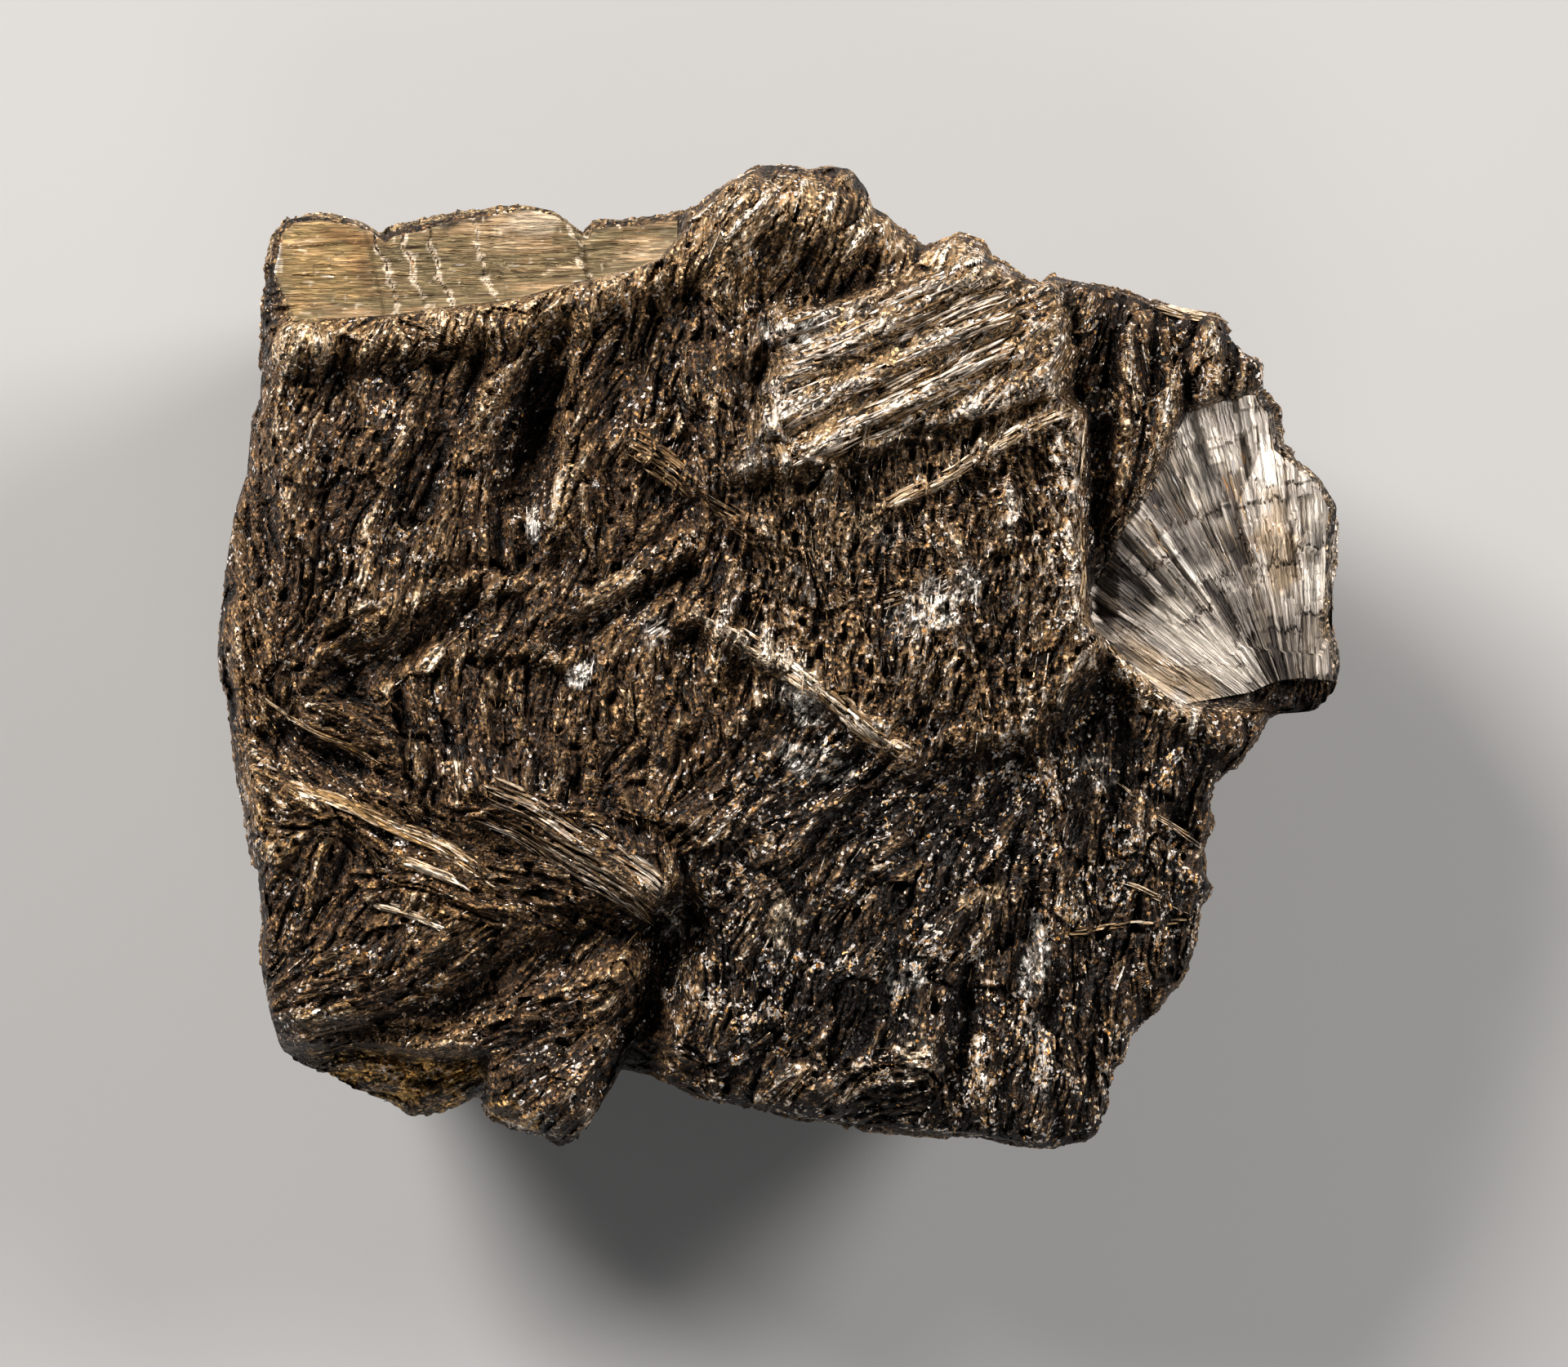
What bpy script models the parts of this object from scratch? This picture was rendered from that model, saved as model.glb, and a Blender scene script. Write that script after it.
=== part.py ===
"""An anthophyllite hand specimen: one intergrown mass of fibrous crystals, lying on its back.

It is a single solid. A cube's surface is spread over the specimen's outline, its upper face takes the
relief of the display face, its walls are chipped by flat fractures, and lozenge crystals are fused to it.
Tables and shape functions work in millimetres and the mesh is in metres. +Z points up out of the display
face, +Y towards the crown, and the origin is under the middle of the outline on the resting plane.
"""

import math
from collections import namedtuple

import bmesh
import bpy
import numpy as np
from mathutils import Matrix, Vector

NODE = "anthophyllite"
MM = 0.001

# Driving dimensions, in millimetres.
LENGTH_X = 97.0
WIDTH_Y = 85.0
THICKNESS_Z = 40.0

MIDDLE_HEIGHT = 34.5  # of the display face over the middle of the outline, before facets and ridges
DOME_FALL = 0.0022  # how fast that height falls with the square of the distance
RIM_INSET = 0.8  # how far the display face stops inside the outline
FOOT_INSET = 3.0  # how far the foot of the walls lies inside the softened outline
WIDEST_SHARE = 0.32  # where down the wall the outline is reached, from 0 at the top to 1 at the foot
WIDEST_HEIGHT, WIDEST_BAND = 22.0, 8.0  # the walls' relief fades out about this height
SOFTENING = math.radians(12)  # bearings that the outline is averaged over at the foot
CORNER_REACH = (47.0, 41.0)  # half sides of the squarish core that the display face spreads out from
CORE_SHARE = 0.3  # how far out that core reaches, as a share of the way to the outline
LINE_SPREAD, MOUND_SPREAD = 1.6, 1.4  # how far ridges and mounds reach, as shares of their sizes

CUTS = {"X": 95, "Y": 85, "Z": 21}  # cuts of the cube's edges along each axis
SOLID_TRIANGLES = 7600  # what the body keeps of its faces, the fused crystals not counted

# The outline from above, clockwise from the left end of the cleavage slab. Its bearing never turns back.
OUTLINE = [
    (-43.0, 37.0), (-42.0, 38.0), (-40.0, 38.3), (-37.5, 38.0), (-35.4, 37.4), (-34.1, 36.4),
    (-33.5, 37.0), (-31.0, 37.6), (-27.5, 38.5), (-24.5, 39.0), (-22.0, 39.5), (-19.5, 39.0),
    (-17.7, 37.7), (-16.8, 37.1), (-16.0, 38.0), (-12.5, 38.2), (-8.5, 38.8), (-7.0, 38.7),
    (-5.0, 40.2), (-2.5, 41.8), (-1.3, 42.5), (1.0, 42.5), (2.5, 41.9), (4.5, 42.5), (6.0, 42.4),
    (7.4, 41.0), (8.0, 39.0), (9.2, 38.4), (10.4, 37.2), (12.4, 35.5), (14.0, 36.0), (15.5, 36.5),
    (17.4, 35.8), (18.0, 34.5), (19.6, 33.8), (21.0, 32.5), (22.3, 32.1), (23.5, 33.0), (26.4, 32.2),
    (29.0, 31.6), (31.5, 30.6), (35.0, 29.7), (37.5, 29.2), (38.4, 27.8), (39.6, 26.0), (41.0, 25.4),
    (41.5, 22.6), (42.5, 21.5), (42.9, 18.4), (44.6, 17.0), (46.6, 15.2), (47.9, 13.1), (47.6, 10.0),
    (47.5, 5.8), (47.2, 3.0), (48.0, 1.0), (48.4, -3.3), (46.6, -4.6), (44.8, -4.9), (41.7, -5.0),
    (41.4, -5.6), (40.4, -7.2), (39.0, -9.3), (37.2, -11.0), (36.7, -12.8), (37.0, -14.2), (36.0, -16.5),
    (36.2, -18.7), (37.0, -20.1), (36.0, -21.3), (35.7, -22.8), (35.1, -25.4), (34.5, -27.5),
    (33.4, -29.2), (31.6, -31.5), (30.2, -33.0), (29.6, -34.7), (28.7, -35.6), (28.0, -38.2),
    (27.3, -41.1), (26.1, -41.9), (23.5, -42.5), (20.6, -42.1), (16.8, -41.4), (12.5, -41.1),
    (8.4, -40.8), (3.5, -40.2), (-0.6, -39.4), (-7.2, -37.9), (-9.3, -36.9), (-11.0, -36.3),
    (-13.7, -36.2), (-14.9, -38.1), (-16.0, -40.3), (-17.2, -41.6), (-18.7, -42.2), (-20.1, -41.4),
    (-22.4, -40.9), (-24.9, -39.9), (-25.9, -38.4), (-28.6, -40.2), (-30.8, -40.7), (-32.4, -40.6),
    (-34.0, -39.5), (-36.9, -38.6), (-38.5, -37.7), (-39.6, -36.6), (-42.0, -35.6), (-43.0, -33.6),
    (-43.7, -31.0), (-44.4, -27.5), (-44.1, -23.0), (-44.7, -18.6), (-45.5, -16.0), (-46.0, -14.2),
    (-47.1, -7.4), (-47.4, -4.4), (-48.3, 0.2), (-47.8, 5.5), (-47.5, 9.0), (-46.8, 12.9),
    (-45.8, 16.0), (-45.4, 20.6), (-44.6, 22.7), (-44.2, 26.8), (-44.4, 29.1), (-43.7, 34.0),
    (-43.4, 36.0),
]

# How the display face rolls over at the outline: bearing in degrees, drop and width of the roll.
RIM_ROLL = [
    (0, 3.0, 3.5), (40, 5.0, 4.0), (75, 7.0, 5.0), (90, 8.0, 6.0), (104, 5.0, 4.0), (118, 2.0, 2.0),
    (140, 4.0, 3.0), (152, 9.0, 5.5), (180, 12.0, 7.0), (200, 11.0, 7.0), (220, 8.0, 6.0),
    (240, 9.0, 6.0), (255, 6.0, 4.0), (275, 7.0, 4.0), (295, 5.0, 4.0), (320, 6.0, 5.0), (345, 5.0, 4.0),
]

Facet = namedtuple("Facet", "outline middle height rise_x rise_y edge")
Ridge = namedtuple("Ridge", "line width height")
Mound = namedtuple("Mound", "centre radii height")
Chip = namedtuple("Chip", "bearing dip height")
Blade = namedtuple("Blade", "start end width lift")

# Broad planes of the display face, later ones over earlier ones: height at the middle, its rise per
# millimetre along X and Y, and the width of the step at the edge.
LOWER_RIGHT = Facet(
    [(11.0, -9.6), (20.8, -7.9), (26.7, -0.9), (33.4, -5.1), (37.6, -6.8), (36.2, -20.8), (35.1, -25.4),
     (29.9, -34.1), (27.1, -41.1), (23.6, -43.2), (3.3, -40.8), (-7.2, -38.3), (-10.7, -27.8),
     (-7.6, -21.5), (-6.5, -13.8), (-3.7, -6.8), (3.3, -5.4)],
    (15.0, -24.0), 31.8, -0.05, 0.10, 5.0)
PLATEAU = Facet(
    [(-3.4, 14.2), (9.6, 16.8), (23.9, 21.2), (25.4, 20.1), (25.1, 11.4), (25.5, 3.0), (26.4, -0.2),
     (20.8, -7.2), (11.0, -8.9), (1.9, -1.9), (-6.5, 3.0), (-0.2, 8.6)],
    (15.0, 8.0), 36.4, 0.07, 0.02, 3.0)
BAND = Facet(
    [(-3.7, 15.2), (-2.0, 19.8), (0.1, 25.4), (-0.9, 29.2), (6.1, 29.9), (16.6, 33.4), (23.2, 32.0),
     (24.3, 26.8), (23.2, 21.5), (9.6, 17.0), (3.3, 14.7)],
    (10.0, 23.0), 37.2, 0.03, -0.12, 2.5)
RECESS = Facet(
    [(25.8, 20.5), (24.3, 31.7), (31.3, 32.6), (38.3, 30.2), (42.1, 26.4), (41.1, 22.6), (34.8, 20.8),
     (31.3, 14.2), (26.4, 5.2)],
    (33.0, 21.0), 31.8, -0.16, -0.04, 1.4)
FAN = Facet(
    [(26.0, 5.8), (31.3, 14.9), (34.1, 20.8), (41.5, 22.9), (43.9, 18.6), (48.8, 14.1), (49.1, 3.0),
     (49.8, -3.3), (45.3, -6.1), (40.4, -4.2), (33.4, -4.2), (26.4, 1.9)],
    (38.0, 6.0), 28.8, -0.28, 0.04, 1.5)
SLAB = Facet(
    [(-44.9, 39.3), (-43.4, 34.2), (-40.7, 28.2), (-33.1, 28.7), (-26.8, 29.7), (-21.9, 30.3),
     (-17.7, 31.5), (-12.8, 32.7), (-9.7, 33.9), (-8.1, 36.2), (-7.2, 40.7), (-22.0, 41.5)],
    (-25.0, 34.0), 27.2, 0.0, -0.42, 1.0)
LOWER_LEFT = Facet(
    [(-44.7, -8.9), (-33.1, -14.5), (-21.9, -19.8), (-21.9, -21.9), (-27.5, -28.2), (-35.2, -31.0),
     (-43.6, -31.7), (-44.7, -20.8)],
    (-34.0, -21.0), 32.6, 0.04, 0.05, 2.5)
STRIPED_FOOT = Facet(
    [(-42.9, -33.8), (-24.7, -34.0), (-25.4, -39.5), (-28.9, -41.8), (-33.1, -42.1), (-38.7, -39.5)],
    (-34.0, -37.5), 23.5, 0.03, 0.45, 2.0)
FACETS = (LOWER_RIGHT, PLATEAU, BAND, RECESS, FAN, SLAB, LOWER_LEFT, STRIPED_FOOT)

# Ridges, and with a negative height the folds and crevices: half width and height.
RIDGES = (
    Ridge([(-3.7, 38.7), (-5.1, 28.2), (-5.8, 22.6), (-4.8, 16.3)], 2.6, 3.0),
    Ridge([(-40.5, 26.4), (-33.0, 26.9), (-26.8, 27.9), (-21.9, 28.5), (-17.7, 29.7), (-12.8, 31.0),
           (-8.6, 33.3)], 2.2, 2.8),
    Ridge([(-38.0, 26.0), (-40.5, 19.0), (-41.0, 11.0)], 1.8, 1.5),
    Ridge([(-30.5, 26.0), (-33.5, 19.0), (-35.5, 10.0), (-34.5, 3.0)], 2.0, 1.5),
    Ridge([(-22.5, 27.0), (-26.0, 18.0), (-28.0, 9.0)], 1.8, 1.3),
    Ridge([(-14.0, 30.0), (-16.5, 22.0), (-18.5, 12.0)], 1.9, 1.8),
    Ridge([(-12.8, 18.4), (-6.5, 13.8), (-0.6, 9.6)], 1.5, 1.4),
    Ridge([(-6.9, 3.5), (0.5, -0.9), (7.5, -6.1), (11.3, -9.1)], 1.4, 1.8),
    Ridge([(-25.4, -11.4), (-17.7, -15.2), (-11.4, -19.4), (-8.5, -22.1)], 2.6, 2.4),
    Ridge([(8.9, 12.4), (15.9, 16.3), (24.3, 21.0), (25.0, 19.8), (24.9, 11.4), (25.0, 3.0)], 0.9, 0.9),
    Ridge([(26.4, 1.9), (30.6, -2.6), (34.1, -5.4), (38.0, -7.4)], 1.3, 1.8),
    Ridge([(-19.4, 22.5), (-21.5, 14.5)], 2.2, -4.0),
    Ridge([(-36.2, -2.1), (-26.6, 4.3)], 1.6, -2.6),
    Ridge([(-18.4, 1.2), (-13.2, 4.0), (-7.7, 7.2)], 1.0, -2.2),
    Ridge([(26.7, 19.0), (26.5, 11.0), (26.7, 4.0)], 1.2, -2.4),
    Ridge([(-42.5, -7.0), (-36.0, -9.6)], 1.4, -2.2),
    Ridge([(-7.9, -22.6), (-14.9, -23.6), (-21.9, -26.4), (-28.9, -30.3), (-36.6, -32.6)], 2.2, -2.8),
    Ridge([(-8.5, -21.9), (-9.9, -26.4), (-11.4, -31.3), (-12.7, -36.6)], 2.4, -6.0),
)

MOUNDS = (
    Mound((0.3, 37.4), (8.5, 6.5), 5.2),  # crown
    Mound((9.3, 35.6), (2.2, 2.6), 1.6),
    Mound((15.6, 33.8), (2.8, 2.6), 2.2),
    Mound((24.6, 30.4), (2.2, 2.4), 1.6),
    Mound((-32.4, 4.7), (3.0, 3.4), 1.6),
    Mound((-20.2, -38.0), (5.0, 4.6), 3.5),  # lobe beside the notch
    Mound((-28.6, 24.5), (0.9, 0.9), -1.6),  # pit under the lip
)

# Ribs of fibre running down the recess, and the splinters of the band, each family by a loop.
RIB_X = (29.0, 32.6, 36.2)
RIB_TOP, RIB_FOOT = 29.0, 17.5
RIB_WIDTH, RIB_HEIGHT = 1.5, 1.6
BAND_ANGLE = math.radians(27)
BAND_START, BAND_PITCH, BAND_LINES = (1.5, 16.6), 3.3, 4
BAND_REACH, BAND_WIDTH, BAND_HEIGHT = 21.0, 1.4, 1.1

# Flat fractures that trim the walls and the underside: bearing and dip of the face in degrees (a positive
# dip faces down), and the height at which it leaves the outermost point of the outline.
CHIPS = (
    Chip(4, 24, 23.0), Chip(33, 30, 24.0), Chip(60, 22, 26.0), Chip(86, 28, 22.0), Chip(101, 16, 24.0),
    Chip(124, 26, 23.0), Chip(148, 30, 22.0), Chip(171, 27, 24.0), Chip(193, 18, 23.0), Chip(216, 28, 22.0),
    Chip(240, 20, 25.0), Chip(263, 30, 22.0), Chip(286, 17, 23.0), Chip(309, 27, 26.0), Chip(332, 20, 30.0),
    Chip(350, 36, 22.0), Chip(15, 62, 11.0), Chip(75, 66, 10.0), Chip(138, 60, 12.0), Chip(182, 64, 9.0),
    Chip(229, 62, 12.0), Chip(276, 66, 9.0), Chip(322, 60, 14.0),
)

# Blocks that the walls broke into: their size, the step between neighbours and the tilt of their faces.
BLOCK_SIZE, BLOCK_STEP, BLOCK_TILT = 9.0, 2.4, 0.22
BLOCKS_FROM, BLOCKS_EASE = 30.0, 6.0  # distance from the axis at which the blocks begin, and its easing
BLOCKS_HEIGHT, BLOCKS_BAND = 12.0, 20.0  # height of the deepest steps, and how far they fade from it

# The fan of blades spreads from its apex: angle of each blade, height of its steps, length of a break.
FAN_APEX = (45.7, -5.8)
FAN_BLADE_ANGLE = math.radians(7.5)
FAN_STEP, FAN_BREAK, FAN_BREAK_STEP = 1.5, 7.0, 0.9
FAN_CALM = 9.0  # no steps nearer to the apex than this

# Cross fractures of the cleavage slab: where each block starts, the step of its top, the lean of the cut.
SLAB_BLOCKS = ((-34.6, -0.6), (-29.0, -0.2), (-24.0, 0.3), (-16.8, -0.9))
SLAB_LEAN, SLAB_CUT_WIDTH = 0.25, 0.4

# Fibre directions over the display face, in degrees from +X: place and angle.
STROKES = (
    (-45, 14, 85), (-46, 0, 88), (-45, -10, 95), (-43, -24, 72), (-39, 25, 70), (-35, 20, 70),
    (-30, 26, 65), (-24, 25, 65), (-17, 26, 58), (-13, 30, 60), (-15, 22, 65), (-9, 21, 80),
    (-6, 28, 95), (-4, 33, 60), (-6, 25, 85), (-5, 17, 95), (1, 38, 65), (6, 35, 62), (10, 33, 60),
    (16, 34, 70), (3, 31, 50), (3, 26, 27), (10, 25, 27), (17, 28, 27), (3, 20, 27), (10, 20, 30),
    (21, 29, 25), (0, 14, 100), (10, 17, 98), (21, 14, 95), (17, 7, 85), (24, 11, 90), (10, 7, 95),
    (3, 4, 95), (28, 27, 80), (31, 25, 85), (35, 26, 85), (30, 17, 80), (35, 22, 88), (28, 11, 60),
    (-4, -10, 47), (0, -14, 45), (7, -17, 40), (3, -24, 60), (17, -14, 70), (14, -21, 60),
    (24, -14, 80), (31, -17, 85), (21, -28, 88), (28, -28, 85), (33, -24, 80), (17, -35, 85),
    (10, -31, 80), (24, -37, 88), (3, -31, 60), (0, -35, 30), (10, -38, 170), (-4, -28, 80),
    (-7, -21, 95), (-18, 14, 85), (-13, 11, 75), (-22, 11, 85), (-27, 14, 80), (-33, 11, 85),
    (-37, 6, 85), (-42, 11, 88), (-32, 4, 60), (-25, 3, 40), (-18, 3, 45), (-11, 8, 45),
    (-35, 0, 30), (-28, -3, 85), (-21, -3, 88), (-14, -3, 85), (-9, -3, 85), (-18, -10, 80),
    (-11, -8, 60), (-27, -9, 85), (-35, -7, 150), (-40, -11, 155), (-32, -15, 155), (-25, -18, 153),
    (-18, -16, 152), (-12, -19, 145), (-37, -17, 65), (-42, -24, 75), (-35, -24, 50), (-29, -24, 45),
    (-33, -29, 30), (-39, -30, 25), (-25, -26, 40), (-18, -26, 30), (-28, -32, 15), (-21, -31, 25),
    (-15, -30, 45), (-39, -35, 0), (-32, -36, 177), (-35, -38, 170), (-29, -38, 10), (-22, -37, 50),
    (-18, -39, 40), (-9, -30, 85), (-11, -35, 160), (-39, 34, 2), (-25, 35, 3), (-13, 36, 5),
)
STROKE_REACH = 4.5

# Fibrous relief in two grades: streak width, streak length and height.
GRAIN_GRADES = ((2.4, 12.0, 1.5), (1.3, 6.0, 0.8))

# Single crystals fused to the mass: ends, half width, and how far the spine stands proud.
BLADES = (
    Blade((-44.0, -3.9), (-32.4, -9.3), 0.9, 1.0),
    Blade((-44.6, -9.0), (-32.8, -14.4), 1.2, 1.2),
    Blade((-34.0, -13.9), (-22.0, -19.8), 1.5, 1.3),
    Blade((-33.2, -18.9), (-24.6, -22.8), 0.9, 1.1),
    Blade((-24.5, -12.6), (-10.0, -21.0), 1.6, 1.2),
    Blade((-12.8, 18.6), (-0.8, 9.7), 1.5, 0.9),
    Blade((-6.6, 3.6), (4.0, -3.6), 1.3, 1.0),
    Blade((2.0, -2.4), (11.3, -9.2), 1.1, 1.1),
    Blade((9.2, 12.6), (17.4, 17.4), 1.0, 0.8),
    Blade((16.0, 16.6), (24.2, 21.0), 0.9, 0.9),
    Blade((0.8, 15.6), (14.6, 22.8), 1.1, 0.9),
    Blade((2.6, 21.8), (19.6, 30.2), 1.3, 1.0),
    Blade((5.6, 20.4), (22.6, 28.8), 1.0, 0.9),
    Blade((30.6, 15.0), (38.6, 3.6), 1.5, 0.9),
    Blade((35.4, 20.6), (41.6, 5.4), 1.3, 0.9),
    Blade((40.9, 21.0), (43.8, 3.4), 1.4, 1.0),
    Blade((27.2, 3.4), (38.8, -3.4), 1.8, 0.9),
)
LOZENGE_RATIO = math.tan(math.radians(62))  # half width over half height, from the 124 degree cleavage
BLADE_TAPER = 0.55  # width of a blade's far end, as a share of its near end

CRYSTAL_BROWN = (0.105, 0.070, 0.042, 1.0)


def smooth(t):
    """Smooth step from 0 to 1 as t goes from 0 to 1."""
    t = np.clip(t, 0.0, 1.0)
    return t * t * (3.0 - 2.0 * t)


def bell(t):
    """1 at t = 0, falling to 0 at t = 1 and beyond."""
    return 1.0 - smooth(np.abs(t))


def lattice_value(ix, iy, iz, seed):
    """A fixed random number from 0 to 1 for each whole-numbered lattice point."""
    spun = np.sin(ix * 127.1 + iy * 311.7 + iz * 74.7 + seed * 53.3) * 43758.5453
    return spun - np.floor(spun)


def noise(x, y, z, seed):
    """Smooth value noise from -1 to 1 on a unit lattice."""
    cells = [np.floor(v) for v in (x, y, z)]
    near = [smooth(v - cell) for v, cell in zip((x, y, z), cells)]
    total = 0.0
    for corner in range(8):
        bits = (corner & 1, corner >> 1 & 1, corner >> 2)
        weight = 1.0
        for bit, t in zip(bits, near):
            weight = weight * (t if bit else 1.0 - t)
        total = total + weight * lattice_value(*(cell + bit for cell, bit in zip(cells, bits)), seed)
    return 2.0 * total - 1.0


def distance_to_line(x, y, line):
    """Distance from each point to an open polyline."""
    nearest = np.full(np.shape(x), np.inf)
    for (ax, ay), (bx, by) in zip(line[:-1], line[1:]):
        dx, dy = bx - ax, by - ay
        share = np.clip(((x - ax) * dx + (y - ay) * dy) / (dx * dx + dy * dy), 0.0, 1.0)
        nearest = np.minimum(nearest, np.hypot(x - ax - share * dx, y - ay - share * dy))
    return nearest


def depth_inside(x, y, outline):
    """Distance to a closed outline, positive inside it and negative outside."""
    closed = list(outline) + [outline[0]]
    crossings = np.zeros(np.shape(x), int)
    for (ax, ay), (bx, by) in zip(closed[:-1], closed[1:]):
        spans = (ay > y) != (by > y)
        crossings += spans & (x < (bx - ax) * (y - ay) / (by - ay + 1e-12) + ax)
    return np.where(crossings % 2 == 1, 1.0, -1.0) * distance_to_line(x, y, closed)


def inside(x, y, facet):
    """1 well inside a facet and 0 well outside, with the step as wide as the facet's edge."""
    return smooth(0.5 + depth_inside(x, y, facet.outline) / facet.edge)


def outline_radius(bearing):
    """Distance from the middle to the outline at a bearing in radians."""
    points = np.array(OUTLINE)
    bearings = np.arctan2(points[:, 1], points[:, 0])
    return np.interp(bearing, bearings, np.hypot(*points.T), period=2.0 * math.pi)


def soft_radius(bearing):
    """The outline's radius averaged over the bearings about it, without its notches."""
    turns = np.linspace(-SOFTENING, SOFTENING, 9)
    return np.mean([outline_radius(bearing + turn) for turn in turns], axis=0)


def fibre_angle(x, y):
    """Direction of the fibres in radians: the strokes near a point, averaged as doubled angles."""
    across, along = 0.0, 1e-9
    for sx, sy, degrees in STROKES:
        pull = 1.0 / (1.0 + ((x - sx) ** 2 + (y - sy) ** 2) / STROKE_REACH**2) ** 3
        across = across + pull * math.sin(math.radians(2 * degrees))
        along = along + pull * math.cos(math.radians(2 * degrees))
    return 0.5 * np.arctan2(across, along) % math.pi


def grain(x, y, angle, width, length, seed):
    """Streaks that follow the fibres: noise stretched along the two nearest of sixteen directions."""
    directions = 16
    turn = angle * directions / math.pi
    first = np.floor(turn)
    total, power = 0.0, 0.0
    for step in (0, 1):
        weight = 1.0 - np.abs(turn - first - step)
        way = (first + step) * math.pi / directions
        along = x * np.cos(way) + y * np.sin(way)
        across = y * np.cos(way) - x * np.sin(way)
        layer = 7.3 * ((first + step) % directions)
        total = total + weight * noise(along / length, across / width, layer, seed)
        power = power + weight**2
    return total / np.sqrt(power)


def fan_terraces(x, y):
    """Blades of the fan at unlike heights, each broken across in steps."""
    dx, dy = x - FAN_APEX[0], y - FAN_APEX[1]
    blade = np.floor(np.arctan2(dy, dx) / FAN_BLADE_ANGLE)
    break_at = np.floor(np.hypot(dx, dy) / FAN_BREAK + lattice_value(blade, 0, 0, 3))
    tops = (lattice_value(blade, 1, 0, 4) - 0.5) * FAN_STEP
    tops = tops + (lattice_value(blade, break_at, 0, 5) - 0.5) * FAN_BREAK_STEP
    return tops * smooth((np.hypot(dx, dy) - FAN_CALM) / FAN_CALM)


def slab_terraces(x, y):
    """Blocks of the cleavage slab, parted by cross fractures that lean."""
    along = x + SLAB_LEAN * (y - SLAB.middle[1])
    return sum(step * smooth((along - start) / SLAB_CUT_WIDTH) for start, step in SLAB_BLOCKS)


def splinter_band(x, y):
    """Parallel splinters of the band."""
    dx, dy = x - BAND_START[0], y - BAND_START[1]
    along = dx * math.cos(BAND_ANGLE) + dy * math.sin(BAND_ANGLE)
    across = dy * math.cos(BAND_ANGLE) - dx * math.sin(BAND_ANGLE)
    ends = smooth((along + 2.0) / 2.0) * smooth((BAND_REACH - along) / 2.0)
    lines = (bell((across - BAND_PITCH * n) / BAND_WIDTH) for n in range(BAND_LINES))
    return BAND_HEIGHT * ends * sum(lines)


def recess_ribs(x, y):
    """Upright ribs of fibre in the recess behind the plateau."""
    ends = smooth((RIB_TOP - y) / 2.0) * smooth((y - RIB_FOOT) / 2.0)
    return RIB_HEIGHT * ends * sum(bell((x - rib) / RIB_WIDTH) for rib in RIB_X)


def rim_fall(x, y):
    """How far the display face has rolled over near the outline, as a quarter of an ellipse."""
    bearing = np.arctan2(y, x)
    degrees, drops, widths = np.array(RIM_ROLL, float).T
    drop = np.interp(np.degrees(bearing), degrees, drops, period=360.0)
    width = np.interp(np.degrees(bearing), degrees, widths, period=360.0)
    share = np.clip((outline_radius(bearing) - np.hypot(x, y)) / width, 0.0, 1.0)
    return drop * (1.0 - np.sqrt(1.0 - (1.0 - share) ** 2))


def display_height(x, y):
    """Height of the display face over the resting plane."""
    height = MIDDLE_HEIGHT - DOME_FALL * (x**2 + y**2)
    for facet in FACETS:
        plane = facet.height + facet.rise_x * (x - facet.middle[0]) + facet.rise_y * (y - facet.middle[1])
        height = height + (plane - height) * inside(x, y, facet)
    for ridge in RIDGES:
        away = distance_to_line(x, y, ridge.line)
        height = height + ridge.height * bell(away / (LINE_SPREAD * ridge.width))
    for mound in MOUNDS:
        reach = np.hypot((x - mound.centre[0]) / mound.radii[0], (y - mound.centre[1]) / mound.radii[1])
        height = height + mound.height * bell(reach / MOUND_SPREAD)
    fan, slab = inside(x, y, FAN), inside(x, y, SLAB)
    height = height + fan * fan_terraces(x, y) + slab * slab_terraces(x, y)
    height = height + splinter_band(x, y) + (1.0 - fan) * recess_ribs(x, y)
    angle, fibrous = fibre_angle(x, y), 1.0 - 0.85 * np.maximum(fan, slab)
    for seed, (width, length, tall) in enumerate(GRAIN_GRADES):
        height = height + 0.5 * tall * fibrous * grain(x, y, angle, width, length, seed)
    return height - rim_fall(x, y)


def spread(cube):
    """Carries points of a cube's surface, each coordinate from -1 to 1, to the specimen's surface."""
    a, b, c = cube.T
    reach = np.maximum(np.abs(a), np.abs(b))
    bearing = np.arctan2(b, a)
    rim = outline_radius(bearing)
    wide, deep = CORNER_REACH
    squarish = (np.abs(np.cos(bearing) / wide) ** 4 + np.abs(np.sin(bearing) / deep) ** 4) ** -0.25
    down = (1.0 - c) / 2.0
    below = smooth((down - WIDEST_SHARE) / (1.0 - WIDEST_SHARE))
    top_side = RIM_INSET * np.clip(1.0 - down / WIDEST_SHARE, 0.0, 1.0) ** 2
    edge = rim - top_side + (soft_radius(bearing) - FOOT_INSET - rim) * below
    radius = reach * (squarish + (edge - squarish) * smooth((reach - CORE_SHARE) / (1.0 - CORE_SHARE)))
    x, y = radius * np.cos(bearing), radius * np.sin(bearing)
    return np.column_stack([x, y, display_height(x, y) * (1.0 - down)])


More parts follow.
